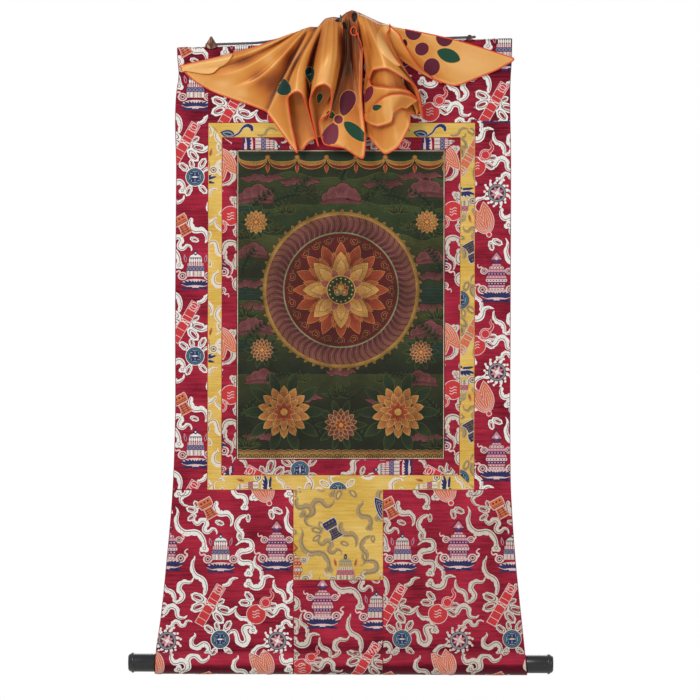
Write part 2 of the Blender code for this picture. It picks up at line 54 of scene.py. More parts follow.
FACE_Y = -0.0034
TOP_EDGE = ((177.0, 47.3), (512.0, 38.1))
ROLLER_AXIS = ((128.0, 662.6), (553.5, 664.2))
SLEEVE_BEND = 0.0162
YELLOW_OUT = ((208.5, 123.0), (475.0, 123.0), (474.0, 489.7), (207.4, 489.7))
YELLOW_IN = ((222.0, 137.2), (460.7, 137.2), (459.6, 475.3), (221.3, 475.3))
PAINTING = ((237.0, 150.0), (445.0, 150.0), (444.3, 459.2), (236.6, 459.2))
SEAM_Y = 489.7
DOOR = ((293.5, 489.7), (382.9, 489.7), (382.9, 579.9), (293.5, 579.9))
LEFT_EDGE = ((38, 177.0), (58, 177.6), (74, 178.9), (92, 176.6), (172, 176.3), (310, 175.3),
             (440, 174.8), (489, 172.8), (560, 166.8), (620, 160.5), (652, 156.0), (676, 154.6))
RIGHT_EDGE = ((38, 512.0), (60, 511.6), (76, 510.6), (160, 510.9), (320, 510.4), (440, 510.2),
              (489, 510.8), (520, 512.4), (560, 515.4), (600, 519.4), (640, 523.6), (676, 527.2))
BATTEN_TURN = 45.0
ROLLER_TURN = 660.0
# one turn of the pattern map is 760 plan units, or 1140 mm
MAP_SPAN = 760.0
MAP_MM = MAP_SPAN * UNIT * 1000


# surfaces and meshes

def place(across, down, forward=0.0):
    """Plan units to metres. Forward counts from the middle of the cloth."""
    across, down, forward = np.broadcast_arrays(np.asarray(across, float), np.asarray(down, float),
                                                np.asarray(forward, float))
    return np.stack([(across - HANG_X) * UNIT, FACE_Y - forward * UNIT, (HANG_Y - down) * UNIT], -1)


def line_at(pair, across):
    """Height on the plan of a straight line through two points."""
    (x0, y0), (x1, y1) = pair
    return y0 + (y1 - y0) * (across - x0) / (x1 - x0)


def edge_at(table, down):
    """Smooth outer edge: cubic pieces with the table's mean slopes."""
    heights = np.array([row[0] for row in table], float)
    across = np.array([row[1] for row in table], float)
    slope = np.gradient(across, heights)
    down = np.clip(np.asarray(down, float), heights[0], heights[-1])
    i = np.clip(np.searchsorted(heights, down) - 1, 0, len(table) - 2)
    span = heights[i + 1] - heights[i]
    t = (down - heights[i]) / span
    return ((2 * t ** 3 - 3 * t ** 2 + 1) * across[i] + (t ** 3 - 2 * t ** 2 + t) * span * slope[i]
            + (3 * t ** 2 - 2 * t ** 3) * across[i + 1] + (t ** 3 - t ** 2) * span * slope[i + 1])


def hang_wave(across, down):
    """Two crossing sine waves, fading in below the top and out above the
    roller: how far the cloth hangs forward, in plan units."""
    fade = np.clip((down - 150.0) / 250.0, 0.0, 1.0)
    low = np.clip((652.0 - down) / 60.0, 0.0, 1.0)
    wave = 0.55 * np.sin(across / 37.0 + down / 160.0)
    wave = wave + 0.35 * np.sin(across / 19.0 - down / 95.0)
    return fade * low * wave


def path_table(points):
    """Arc length, place and outward normal along a path of Y and height."""
    pts = np.array(points, float)
    run = np.concatenate([[0.0], np.cumsum(np.hypot(*np.diff(pts, axis=0).T))])
    fine = np.linspace(0.0, run[-1], 400)
    y = np.interp(fine, run, pts[:, 0])
    z = np.interp(fine, run, pts[:, 1])
    ty = np.gradient(y, fine)
    tz = np.gradient(z, fine)
    size = np.hypot(ty, tz)
    return fine, y, z, ty / size, tz / size


def hem_path():
    """The cloth going up over the batten and down behind: Y and height
    above the top edge, from 3.45 mm under the edge."""
    bend = -FACE_Y
    start = bend + CLOTH / 2
    path = [(FACE_Y, -start)]
    for angle in np.linspace(math.pi, 0.0, 17)[1:]:
        path.append((bend * math.cos(angle), bend * math.sin(angle) - start))
    path += [(-FACE_Y, -0.014), (-FACE_Y, -0.0245), (-0.0010, -0.0290),
             (FACE_Y + CLOTH + GAP, -0.0320), (FACE_Y + CLOTH + GAP, -0.0380)]
    return path


def sleeve_path():
    """The cloth going down round the roller and up behind: Y and height
    over the roller's axis."""
    bend = SLEEVE_BEND
    path = [(FACE_Y, bend + 0.0080), (FACE_Y - 0.0001, bend + 0.0024), (FACE_Y - 0.0016, bend + 0.0004)]
    for angle in np.linspace(math.radians(108), math.radians(396), 61):
        path.append((-bend * math.cos(angle - math.pi), bend * math.sin(angle)))
    path += [(0.0072, bend - 0.0006), (0.0020, bend + 0.0024), (FACE_Y + CLOTH + GAP, bend + 0.0070),
             (FACE_Y + CLOTH + GAP, bend + 0.0150)]
    return path


HEM = path_table(hem_path())
SLEEVE = path_table(sleeve_path())
HEM_START = (-FACE_Y + CLOTH / 2) / UNIT
SLEEVE_START = (SLEEVE_BEND + 0.0080) / UNIT
HEM_LENGTH = HEM[0][-1] / UNIT
SLEEVE_LENGTH = SLEEVE[0][-1] / UNIT


def on_mount(across, down, lift=0.0, sink=0.0):
    """A point of the pieced cloth. Between hem and sleeve it lies on the
    hanging face. Above and below it runs on along the hem's or the sleeve's
    path by its length. Lift, in metres, is measured outwards."""
    across, down, lift, sink = np.broadcast_arrays(
        *[np.asarray(v, float) for v in (across, down, lift, sink)])
    spot = place(across, down, hang_wave(across, down) - sink)
    spot[..., 1] -= lift
    top = line_at(TOP_EDGE, across) + HEM_START
    low = line_at(ROLLER_AXIS, across) - SLEEVE_START
    for over, base, path, turn in ((top - down, line_at(TOP_EDGE, across), HEM, -1.0),
                                   (down - low, line_at(ROLLER_AXIS, across), SLEEVE, 1.0)):
        here = over > 0
        run = np.clip(over[here] * UNIT, 0.0, path[0][-1])
        y, z, ty, tz = [np.interp(run, path[0], col) for col in path[1:]]
        out = lift[here] - sink[here] * UNIT
        spot[here, 1] = y + turn * tz * out
        spot[here, 2] = (HANG_Y - base[here]) * UNIT + z - turn * ty * out
    return spot


def seen_height(across, down):
    """Where a point of the cloth lies on the plan, seen from the front."""
    return HANG_Y - on_mount(across, down)[..., 2] / UNIT


def grid_faces(rows, columns, round_columns=False):
    """Quads over a grid of points, closed round along its rows if asked."""
    r = np.arange(rows - 1)[:, None]
    c = np.arange(columns if round_columns else columns - 1)[None, :]
    r2 = r + 1
    c2 = (c + 1) % columns
    return np.stack([r * columns + c, r2 * columns + c,
                     r2 * columns + c2, r * columns + c2], -1).reshape(-1, 4)


def make_piece(name, points, faces, looks, look_of_face=None, spots=None, tone=None):
    """A mesh piece. spots are plan places for the pattern map and tone is a
    number from 0 to 1 at each point."""
    mesh = bpy.data.meshes.new(name)
    points = np.asarray(points, float).reshape(-1, 3)
    faces = np.asarray(faces)
    mesh.vertices.add(len(points))
    mesh.vertices.foreach_set("co", points.ravel())
    size = faces.shape[1]
    mesh.loops.add(faces.size)
    mesh.loops.foreach_set("vertex_index", faces.ravel().astype(np.int32))
    mesh.polygons.add(len(faces))
    mesh.polygons.foreach_set("loop_start", np.arange(0, faces.size, size, dtype=np.int32))
    if look_of_face is not None:
        mesh.polygons.foreach_set("material_index", np.asarray(look_of_face, np.int32))
    mesh.polygons.foreach_set("use_smooth", np.full(len(faces), True))
    mesh.update(calc_edges=True)
    if spots is not None:
        spots = np.asarray(spots, float).reshape(-1, 2)[faces.ravel()]
        layer = mesh.uv_layers.new(name="cloth_map")
        uv = np.column_stack([spots[:, 0] / MAP_SPAN, 1.0 - spots[:, 1] / MAP_SPAN])
        layer.data.foreach_set("uv", uv.ravel())
    if tone is not None:
        layer = mesh.attributes.new("tone", "FLOAT", "POINT")
        layer.data.foreach_set("value", np.asarray(tone, np.float32).ravel())
    piece = bpy.data.objects.new(name, mesh)
    bpy.context.scene.collection.objects.link(piece)
    for look in looks:
        mesh.materials.append(look)
    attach(piece, "root")
    return piece


def thicken(piece, thickness, back=0):
    """Give a sheet its thickness with a closed rim. back is how many looks
    further on the look of its other side stands."""
    wall = piece.modifiers.new("cloth", "SOLIDIFY")
    wall.thickness = thickness
    wall.offset = 0.0
    wall.material_offset = back
    wall.use_even_offset = False
    wall.use_rim = True
    return piece


# materials

def linear(code):
    """sRGB hex to linear RGBA."""
    parts = [int(code[i:i + 2], 16) / 255 for i in (1, 3, 5)]
    return (*[c / 12.92 if c <= 0.04045 else ((c + 0.055) / 1.055) ** 2.4 for c in parts], 1.0)


def put(tree, kind, sockets=None, colours=(), **settings):
    """Add a node, with its settings, its sockets' values or links, and the
    places and hex colours of its ramp."""
    node = tree.nodes.new("ShaderNode" + kind)
    for key, value in settings.items():
        setattr(node, key, value)
    for key, value in (sockets or {}).items():
        if isinstance(value, bpy.types.NodeSocket):
            tree.links.new(value, node.inputs[key])
        else:
            node.inputs[key].default_value = value
    if colours:
        elements = node.color_ramp.elements
        while len(elements) < len(colours):
            elements.new(0.5)
        for element, (spot, code) in zip(elements, colours):
            element.position = spot
            element.color = linear(code)
    return node


def new_look(name, **values):
    """A Principled material with plain values, and its tree and shader."""
    look = bpy.data.materials.new(name)
    look.use_nodes = True
    shader = look.node_tree.nodes["Principled BSDF"]
    for key, value in values.items():
        shader.inputs[key.replace("_", " ")].default_value = value
    return look, look.node_tree, shader


def dye_and_relief(tree, shader, tone, colours, height=None, strength=0.0, depth=0.0):
    """End a material: its colour runs through the hex colours with the tone,
    and its threads or lines stand out by the height, depth in metres."""
    dyed = put(tree, "ValToRGB", {"Fac": tone}, colours)
    tree.links.new(dyed.outputs["Color"], shader.inputs["Base Color"])
    if height:
        relief = put(tree, "Bump", {"Strength": strength, "Distance": depth, "Height": height})
        tree.links.new(relief.outputs["Normal"], shader.inputs["Normal"])


def cloth_place(tree, across_mm, down_mm):
    """Pattern map scaled so that one unit is the given size in mm."""
    here = put(tree, "UVMap", uv_map="cloth_map")
    return put(tree, "Mapping", {"Vector": here.outputs["UV"],
                                 "Scale": (MAP_MM / across_mm, MAP_MM / down_mm, 1.0)}).outputs["Vector"]


# a wave texture runs through one wave in about 6.28 units over its scale
WAVE_TURN = 6.28
# painted light and shade on the satin round the roller: painted shade
# just above it, a painted highlight where it turns forward round it and
# painted shade underneath: height from, height to, change
ROLLER_PAINTED_LIGHT_AND_SHADE = ((-0.934, -0.951, -0.09), (-0.953, -0.962, 0.14), (-0.971, -0.985, -0.32))


def satin_ground(name, deep, middle, light, roughness=0.42, sheen=0.25, top_shade=0.0):
    """Silk satin ground of a brocade, woven: long weft floats give a broad
    soft gloss, fine level lines and slow streaks of colour. The threads are
    about 0.2 mm and drawn 0.8 mm apart, which is the finest that shows. With
    top_shade the colour is painted darker towards the top edge, a painted
    shade. Round the roller it has bands of painted highlight and painted
    shade."""
    look, tree, shader = new_look(name, Roughness=roughness, Sheen_Weight=sheen, Sheen_Roughness=0.4,
                                  Specular_IOR_Level=0.9, Specular_Tint=linear(light))
    streaks = put(tree, "TexNoise", {"Vector": cloth_place(tree, 46.0, 3.0), "Scale": 1.0, "Detail": 4.0,
                                     "Roughness": 0.6})
    clouds = put(tree, "TexNoise", {
        "Vector": cloth_place(tree, 60.0, 60.0), "Scale": 1.0, "Detail": 2.0})
    grain = put(tree, "TexNoise", {"Vector": cloth_place(tree, 1.6, 0.9), "Scale": 1.0, "Detail": 2.0})
    mix = put(tree, "Math", {0: streaks.outputs["Fac"], 1: 0.4}, operation="MULTIPLY")
    mix = put(tree, "Math", {0: clouds.outputs["Fac"], 1: 0.35,
                             2: mix.outputs[0]}, operation="MULTIPLY_ADD")
    mix = put(tree, "Math", {0: grain.outputs["Fac"], 1: 0.3,
                             2: mix.outputs[0]}, operation="MULTIPLY_ADD")
    height = put(tree, "SeparateXYZ", {"Vector": put(tree, "UVMap", uv_map="cloth_map").outputs["UV"]})
    # painted shade: the colour darker towards the top edge
    painted_top_shade = put(tree, "MapRange", {"Value": height.outputs["Y"], "From Min": 0.95, "From Max": 0.74,
                                     "To Min": -top_shade, "To Max": 0.0})
    mix = put(tree, "Math", {0: mix.outputs[0], 1: painted_top_shade.outputs["Result"]}, operation="ADD")
    level = put(tree, "SeparateXYZ", {"Vector": put(tree, "TexCoord").outputs["Object"]})
    # painted highlight and painted shade in bands round the roller
    for start, end, change in ROLLER_PAINTED_LIGHT_AND_SHADE:
        band = put(tree, "MapRange", {"Value": level.outputs["Z"], "From Min": start, "From Max": end,
                                      "To Min": 0.0, "To Max": change}, interpolation_type="SMOOTHSTEP")
        mix = put(tree, "Math", {0: mix.outputs[0], 1: band.outputs["Result"]}, operation="ADD")
    weft = put(tree, "TexWave", {"Vector": cloth_place(tree, 0.8 * WAVE_TURN, 0.8 * WAVE_TURN),
                                 "Scale": 1.0, "Distortion": 0.6, "Detail": 1.0}, bands_direction="Y")
    bump = put(tree, "Math", {0: weft.outputs["Fac"], 1: 0.5, 2: grain.outputs["Fac"]},
               operation="MULTIPLY_ADD")
    dye_and_relief(tree, shader, mix.outputs[0],
                   ((0.38, deep), (0.52, middle), (0.66, light)), bump.outputs[0], 0.25, 0.00025)
    return look


def reverse_side(name, deep, light, floats):
    """The back of a brocade, as it comes from the loom: the figure threads
    run loose there, in broken level streaks of their colours. They are
    drawn 1.3 mm thick."""
    look, tree, shader = new_look(name, Roughness=0.6, Specular_IOR_Level=0.3)
    streaks = put(tree, "TexNoise", {
        "Vector": cloth_place(tree, 18.0, 1.3), "Scale": 1.0, "Detail": 2.0})
    patches = put(tree, "TexNoise",
                  {"Vector": cloth_place(tree, 36.0, 36.0), "Scale": 1.0, "Detail": 1.0})
    mix = put(tree, "Math", {0: streaks.outputs["Fac"], 1: 0.6}, operation="MULTIPLY")
    mix = put(tree, "Math", {0: patches.outputs["Fac"], 1: 0.4,
                             2: mix.outputs[0]}, operation="MULTIPLY_ADD")
    dye_and_relief(tree, shader, mix.outputs[0],
                   ((0.36, deep), (0.50, light), (0.53, floats[0]), (0.57, floats[1]),
                    (0.61, floats[2])), streaks.outputs["Fac"], 0.4, 0.0003)
    return look


def thread(name, colour, shade):
    """Figure threads of the brocade, woven in over the ground: fine upright
    ribs, a little uneven in colour from bundle to bundle."""
    look, tree, shader = new_look(name, Roughness=0.5, Sheen_Weight=0.04, Sheen_Roughness=0.5,
                                  Specular_IOR_Level=0.3)
    fleck = put(tree, "TexNoise", {"Vector": cloth_place(tree, 2.0, 1.2), "Scale": 1.0, "Detail": 3.0})
    rib = put(tree, "TexWave", {"Vector": cloth_place(tree, 0.9 * WAVE_TURN, 0.9 * WAVE_TURN),
                                "Scale": 1.0, "Distortion": 0.4}, bands_direction="DIAGONAL")
    dye_and_relief(tree, shader, fleck.outputs["Fac"], ((0.30, shade), (0.56, colour)),
                   rib.outputs["Fac"], 0.3, 0.0002)
    return look


# top_shade paints the crimson darker towards the top edge: painted shade
CRIMSON = satin_ground("crimson_satin_ground", "#4E1220", "#942638", "#B83248",
                       sheen=0.0, top_shade=0.10)
YELLOW = satin_ground("yellow_satin_ground", "#BC943C", "#D8B054", "#E8C878", sheen=0.06)
BACK_OF = {
    CRIMSON: reverse_side("crimson_brocade_reverse", "#4E0A14", "#8A1222",
                          ("#B8A8A0", "#A04038", "#2C3058")),
    YELLOW: reverse_side("yellow_brocade_reverse", "#A8842A", "#C8A23C",
                         ("#B09A70", "#C88A50", "#5A6080")),
}
THREADS = {
    "white": thread("white_silk_thread", "#F2F0EA", "#C9C2BC"),
    # beige is a thread of its own and also stands for white in painted shade
    "beige": thread("beige_thread_and_shaded_white", "#D8CDC0", "#A99A90"),
    "grey": thread("grey_brown_thread", "#B0966C", "#8E764E"),
    "line": thread("maroon_outline_thread", "#64101E", "#480C18"),
    "gold": thread("olive_outline_thread", "#7C6420", "#5C4A18"),
    "navy": thread("navy_silk_thread", "#24285E", "#171A40"),
    "teal": thread("teal_silk_thread", "#46707E", "#2C4A58"),
    "mist": thread("grey_blue_thread", "#8496A0", "#5E6E7A"),
    "coral": thread("coral_silk_thread", "#CC3236", "#AC2228"),
    "orange": thread("orange_silk_thread", "#D8744A", "#B85634"),
    "pink": thread("pink_silk_thread", "#CC8698", "#A25C74"),
    "purple": thread("purple_silk_thread", "#5C3070", "#3C1E4E"),
    "rose": thread("rose_silk_thread", "#E8C8C4", "#C49C9C"),
    "cream": thread("cream_silk_thread", "#EADBCB", "#D2BEA4"),
    "ground": thread("crimson_silk_thread", "#982638", "#7A1A28"),
    "yellow": thread("yellow_silk_thread", "#E0BC64", "#C4A04A"),
}


def lacquered_wood():
    """Turned wood with black lacquer, brushed on: a soft clear gloss, with
    faint turning lines round the axis."""
    look, tree, shader = new_look("black_lacquered_wood", Roughness=0.32, Coat_Weight=0.35,
                                  Coat_Roughness=0.18, IOR=1.5)
    here = put(tree, "TexCoord")
    turned = put(tree, "Mapping", {"Vector": here.outputs["Object"], "Scale": (1600.0, 60.0, 60.0)})
    lines = put(tree, "TexNoise", {"Vector": turned.outputs["Vector"], "Scale": 1.0, "Detail": 3.0})
    dye_and_relief(tree, shader, lines.outputs["Fac"], ((0.3, "#101013"), (0.7, "#222228")),
                   lines.outputs["Fac"], 0.15, 0.0002)
    return look


def braided_thread():
    """Dark braided cotton cord, matt, with painted light: each strand is
    painted lighter on its ridge and darker between strands.
    """
    look, tree, shader = new_look("dark_braided_cotton", Roughness=0.85, Sheen_Weight=0.2)
    high = put(tree, "Attribute", attribute_name="tone")
    dye_and_relief(tree, shader, high.outputs["Fac"], ((0.0, "#17131A"), (1.0, "#6E666E")))
    return look


def veil_silk():
    """Thin silk satin, dyed orange: a broad gloss along the folds, fine
    weft lines 0.9 mm apart and soft cloudy dye. Its tone attribute is painted
    shade and highlight: darker in the hollows and under other layers, lighter
    on the ridges, so its colour follows how open the cloth lies."""
    look, tree, shader = new_look("orange_silk_satin", Roughness=0.36, Sheen_Weight=0.05,
                                  Sheen_Roughness=0.35, Specular_IOR_Level=0.8,
                                  Specular_Tint=linear("#FFD098"), Sheen_Tint=linear("#FFDCA0"))
    # painted shade in the hollows and painted highlight on the ridges
    painted_fold_shade = put(tree, "Attribute", attribute_name="tone")
    cloud = put(tree, "TexNoise", {"Vector": cloth_place(tree, 40.0, 26.0), "Scale": 1.0, "Detail": 3.0})
    grain = put(tree, "TexNoise", {"Vector": cloth_place(tree, 1.8, 1.0), "Scale": 1.0, "Detail": 2.0})
    both = put(tree, "Math", {0: grain.outputs["Fac"], 1: 0.10, 2: painted_fold_shade.outputs["Fac"]},
               operation="MULTIPLY_ADD")
    both = put(tree, "Math", {0: cloud.outputs["Fac"], 1: 0.16, 2: both.outputs[0]},
               operation="MULTIPLY_ADD")
    weft = put(tree, "TexWave", {"Vector": cloth_place(tree, 0.9 * WAVE_TURN, 0.9 * WAVE_TURN),
                                 "Scale": 1.0, "Distortion": 0.8}, bands_direction="Y")
    dye_and_relief(tree, shader, both.outputs[0],
                   ((0.14, "#431410"), (0.36, "#904420"), (0.58, "#C47230"), (0.80, "#D68E42"),
                    (1.00, "#E9B06C")), weft.outputs["Fac"], 0.15, 0.0002)
    return look


def plain_thread(name, high, low, roughness=0.6):
    """Sewn or printed colour: its tone runs from low to high."""
    look, tree, shader = new_look(name, Roughness=roughness, Specular_IOR_Level=0.2)
    tone = put(tree, "Attribute", attribute_name="tone")
    dye_and_relief(tree, shader, tone.outputs["Fac"], ((0.0, low), (1.0, high)))
    return look


LACQUER = lacquered_wood()
CORD_LOOK = braided_thread()
SILK = veil_silk()
# the overlock's tone is painted light and shade of its stitches
OVERLOCK = plain_thread("coral_overlock_thread", "#F26A40", "#D63C26")
# block-printed dyes on the silk: matt, a little uneven in their cover. The
# near-black one also serves as painted shade at the head of the veil.
PRINTS = {
    "maroon": plain_thread("maroon_printed_dye", "#6A2238", "#4C1626", 0.5),
    "plum": plain_thread("plum_printed_dye", "#7E2A3C", "#641E30", 0.5),
    "green": plain_thread("green_printed_dye", "#22503A", "#163A2A", 0.5),
    "teal": plain_thread("dark_teal_printed_dye", "#18443F", "#0E302E", 0.5),
    "dark": plain_thread("near_black_dye_and_painted_shade", "#2C1014", "#160A0C", 0.5),
    "ochre": plain_thread("ochre_printed_outline", "#F2B266", "#D88E40", 0.5),
}


# camera, light and floor

def set_stage():
    """A long lens square to the face, even studio light, a pale floor."""
    camera_data = bpy.data.cameras.new("camera")
    camera_data.sensor_width = 36.0
    camera_data.lens = 500.0
    reach = camera_data.lens / camera_data.sensor_width * PICTURE * UNIT
    camera_data.clip_end = 100.0
    camera = bpy.data.objects.new("camera", camera_data)
    spot = place(PICTURE / 2, PICTURE / 2)
    camera.location = (spot[0], spot[1] - reach, spot[2])
    camera.rotation_euler = (math.pi / 2, 0.0, 0.0)
    bpy.context.scene.collection.objects.link(camera)
    bpy.context.scene.camera = camera

    lights = (
        ("key", (-1.5, -2.4, 1.0), 44.0, 1.0),
        ("fill", (1.9, -2.2, -0.2), 14.0, 1.6),
        ("back", (0.3, 2.6, 0.9), 22.0, 1.8),
    )
    for name, spot, power, size in lights:
        data = bpy.data.lights.new(name, "AREA")
        data.energy = power
        data.size = size
        lamp = bpy.data.objects.new(name, data)
        lamp.location = spot
        aim = Vector((0.0, 0.0, -0.45)) - Vector(spot)
        lamp.rotation_euler = aim.to_track_quat("-Z", "Y").to_euler()
        bpy.context.scene.collection.objects.link(lamp)

    bpy.context.scene.view_settings.view_transform = "Standard"
    world = bpy.data.worlds.new("studio")
    world.use_nodes = True
    bpy.context.scene.world = world
    tree = world.node_tree
    tree.nodes.clear()
    seen = put(tree, "LightPath")
    soft = put(tree, "Background", {"Color": linear("#FFFFFF"), "Strength": 0.45})
    pale = put(tree, "Background", {"Color": linear("#FFFFFF"), "Strength": 1.0})
    both = put(tree, "MixShader", {0: seen.outputs["Is Camera Ray"],
                                   1: soft.outputs[0], 2: pale.outputs[0]})
    put(tree, "OutputWorld", {"Surface": both.outputs[0]})

    steps = 64
    turn = np.linspace(0, 2 * math.pi, steps, endpoint=False)
    reach = np.array([0.0, 4.5])[:, None]
    round_floor = np.stack([reach * np.cos(turn), reach * np.sin(turn), np.full((2, steps), -1.25)], -1)
    plain, _, _ = new_look("pale_floor", Base_Color=linear("#E6E4E0"), Roughness=0.9)
    floor = make_piece("floor", round_floor, grid_faces(2, steps, round_columns=True)[:, ::-1], [plain])


# pieces: cloth of the mount

def straight(top, low):
    """A straight side through two plan points, as a function of height."""
    def at(down):
        return top[0] + (low[0] - top[0]) * (down - top[1]) / (low[1] - top[1])
    return at


def left_side(down):
    """The mount's left edge on the plan."""
    return edge_at(LEFT_EDGE, down)


def right_side(down):
    """The mount's right edge on the plan."""
    return edge_at(RIGHT_EDGE, down)


def roll_in(u, v, width, height):
    """Cloth dips by 0.45 mm within 1 mm of each seam, as a parabola."""
    reach = 0.7
    deepest = 0.3
    dip = np.zeros(np.broadcast(u, v).shape)
    for gap in (u * width, (1 - u) * width, v * height, (1 - v) * height):
        near = np.clip(1 - gap / reach, 0, 1)
        dip = np.maximum(dip, deepest * near ** 2)
    return dip


def stops(cells, length):
    """Even cells with closer rows next to both ends."""
    near = np.array([0.0, 0.2, 0.45, 0.7, 1.0]) / length
    inner = np.linspace(near[-1], 1 - near[-1], cells)
    return np.concatenate([near[:-1], inner, (1 - near[:-1])[::-1]])


# each panel's sides, as functions that are above zero inside, and its box
PANELS = {}
MARGIN = 0.45
CELL = 4.0
ROW = 3.2
# the sleeve's creases lie this far before the end of the cloth, in units
CREASE_ROWS = np.linspace(2.5, 8.5, 13)


def side_of(a, b, centre):
    """Unit vectors of a side from a to b: along it, and square to it towards
    the centre."""
    along = (b - a) / np.linalg.norm(b - a)
    inward = np.array([-along[1], along[0]])
    return along, inward * math.copysign(1.0, inward @ (centre - a))


def quad_panel(name, corners, look):
    """A four-sided piece of the face, its gap of 0.3 mm taken off, with
    points at the mix of its corners."""
    pts = np.array(corners, float)
    centre = pts.mean(0)
    inner = []
    for i in range(4):
        sides = []
        for a, b in ((pts[i - 1], pts[i]), (pts[i], pts[(i + 1) % 4])):
            along, inward = side_of(a, b, centre)
            sides.append((a + inward * GAP / 2 / UNIT, along))
        (a, u), (b, v) = sides
        share = np.cross(b - a, v) / np.cross(u, v)
        inner.append(a + u * share)
    inner = np.array(inner)
    width = np.linalg.norm(inner[1] - inner[0])
    height = np.linalg.norm(inner[3] - inner[0])
    u = stops(max(int(width / CELL), 2), width)[None, :, None]
    v = stops(max(int(height / CELL), 2), height)[:, None, None]
    top = inner[0] * (1 - u) + inner[1] * u
    low = inner[3] * (1 - u) + inner[2] * u
    flat = top * (1 - v) + low * v
    dip = roll_in(u[..., 0], v[..., 0], width, height)
    grid = on_mount(flat[..., 0], flat[..., 1], 0.0, dip)
    piece = make_piece(name + "_cloth", grid, grid_faces(*grid.shape[:2]),
                       [look, BACK_OF[look]], spots=flat)
    thicken(piece, CLOTH, 1)
    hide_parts(name)

    def half_plane(a, b):
        inward = side_of(a, b, centre)[1]
        return lambda x, y: ((x - a[0]) * inward[0] + (y - a[1]) * inward[1] - MARGIN)
    PANELS[name] = ([half_plane(inner[i], inner[(i + 1) % 4]) for i in range(4)],
                    (*inner.min(0), *inner.max(0)))
    edge = flat[[0, -1]][:, [0, -1]]
    area = quad_area(edge[0, 0], edge[0, 1], edge[1, 1], edge[1, 0])
    widest = np.linalg.norm(edge[:, 1] - edge[:, 0], axis=1).max() * UNIT
    tallest = np.linalg.norm(edge[1] - edge[0], axis=1).max() * UNIT
    return piece, (widest, tallest), area


def quad_area(a, b, c, d):
    """Area of a four-sided plan in square metres, by the shoelace sum."""
    pts = np.array([a, b, c, d])
    nxt = np.roll(pts, -1, axis=0)
    return abs(np.sum(pts[:, 0] * nxt[:, 1] - nxt[:, 0] * pts[:, 1])) / 2 * UNIT ** 2


def tall_panel(name, left, right, top, low, look):
    """A piece with shaped sides. Its points share out the width between the
    sides, and top and low may run on over the hem or round the sleeve."""
    middle_top = top(np.array([0.5]))[0]
    middle_low = low(np.array([0.5]))[0]
    height = middle_low - middle_top
    width = float(right(300.0) - left(300.0))
    u = stops(max(int(width / CELL), 3), width)[None, :]
    v = stops(int(height / ROW), height)
    if middle_low > ROLLER_AXIS[0][1]:
        v = np.union1d(v, 1 - (SLEEVE_LENGTH - CREASE_ROWS) / height)
    v = v[:, None]
    down = top(u) * (1 - v) + low(u) * v
    mid = 0.5 * (left(down) + right(down))
    seen = seen_height(mid, down)
    across = left(seen) * (1 - u) + right(seen) * u
    dip = roll_in(u, v, width, height)
    grid = on_mount(across, down, 0.0, dip)
    piece = make_piece(name + "_cloth", grid, grid_faces(*grid.shape[:2]), [look, BACK_OF[look]],
                       spots=np.stack([across, down], -1))
    thicken(piece, CLOTH, 1)
    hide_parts(name)

    def share(x, y):
        seen = seen_height(x, y)
        return (x - left(seen)) / (right(seen) - left(seen))
    PANELS[name] = ([lambda x, y: x - left(seen_height(x, y))
                     - MARGIN, lambda x, y: right(seen_height(x, y)) - x - MARGIN, lambda x, y: y
                     - top(share(x, y)) - MARGIN, lambda x, y: low(share(x, y)) - y - MARGIN],
                    (across.min(), down.min(), across.max(), down.max()))
    widths = (across[:, -1] - across[:, 0]) * UNIT
    heights = (down[-1] - down[0]) * UNIT
    area = float(np.mean(widths) * np.mean(heights))
    flat = (float(widths.max()), float(heights.max()))
    return piece, flat, area


def add_mount():
    """All cloth pieces of the face, each a thickened sheet."""
    half = GAP / 2 / UNIT
    yo, yi, pa, do = YELLOW_OUT, YELLOW_IN, PAINTING, DOOR
    seam_left = straight(yo[0], yo[3])
    seam_right = straight(yo[1], yo[2])
    door_left = straight(do[0], do[3])
    door_right = straight(do[1], do[2])

    def sides(left, right, shift_left, shift_right):
        return (lambda y: left(y) + shift_left, lambda y: right(y) + shift_right)

    def hem_top(left, right):
        def at(u):
            x = left(BATTEN_TURN) * (1 - u) + right(BATTEN_TURN) * u
            return line_at(TOP_EDGE, x) + HEM_START - HEM_LENGTH
        return at

    def sleeve_low(left, right):
        def at(u):
            x = left(ROLLER_TURN) * (1 - u) + right(ROLLER_TURN) * u
            return line_at(ROLLER_AXIS, x) - SLEEVE_START + SLEEVE_LENGTH
        return at

    def level(y):
        return lambda u: np.full(np.shape(u), float(y))

    made = []
    rows = (
        ("left_strip", left_side, seam_left, 0.0, -half, None, SEAM_Y - half),
        ("right_strip", seam_right, right_side, half, 0.0, None, SEAM_Y - half),
        ("top_panel", seam_left, seam_right, half, -half, None, yo[0][1] - half),
        ("lower_left_panel", left_side, door_left, 0.0, -half,
         SEAM_Y + half, None),
        ("lower_middle_panel", door_left, door_right, half, -half,
         do[2][1] + half, None),
        ("lower_right_panel", door_right, right_side, half, 0.0,
         SEAM_Y + half, None),
    )
    for name, left, right, shift_l, shift_r, top, low in rows:
        left, right = sides(left, right, shift_l, shift_r)
        top_line = level(top) if top else hem_top(left, right)
        low_line = level(low) if low else sleeve_low(left, right)
        made.append(tall_panel(name, left, right, top_line, low_line, CRIMSON))
    for i, side in enumerate(("top", "right", "bottom", "left")):
        j = (i + 1) % 4
        made.append(quad_panel("yellow_border_" + side, (yo[i], yo[j], yi[j], yi[i]), YELLOW))
        made.append(quad_panel("red_border_" + side, (yi[i], yi[j], pa[j], pa[i]), CRIMSON))
    made.append(quad_panel("door_panel", do, YELLOW))
    made.append(quad_panel("painting", pa, PAINT_GROUND))
    return made


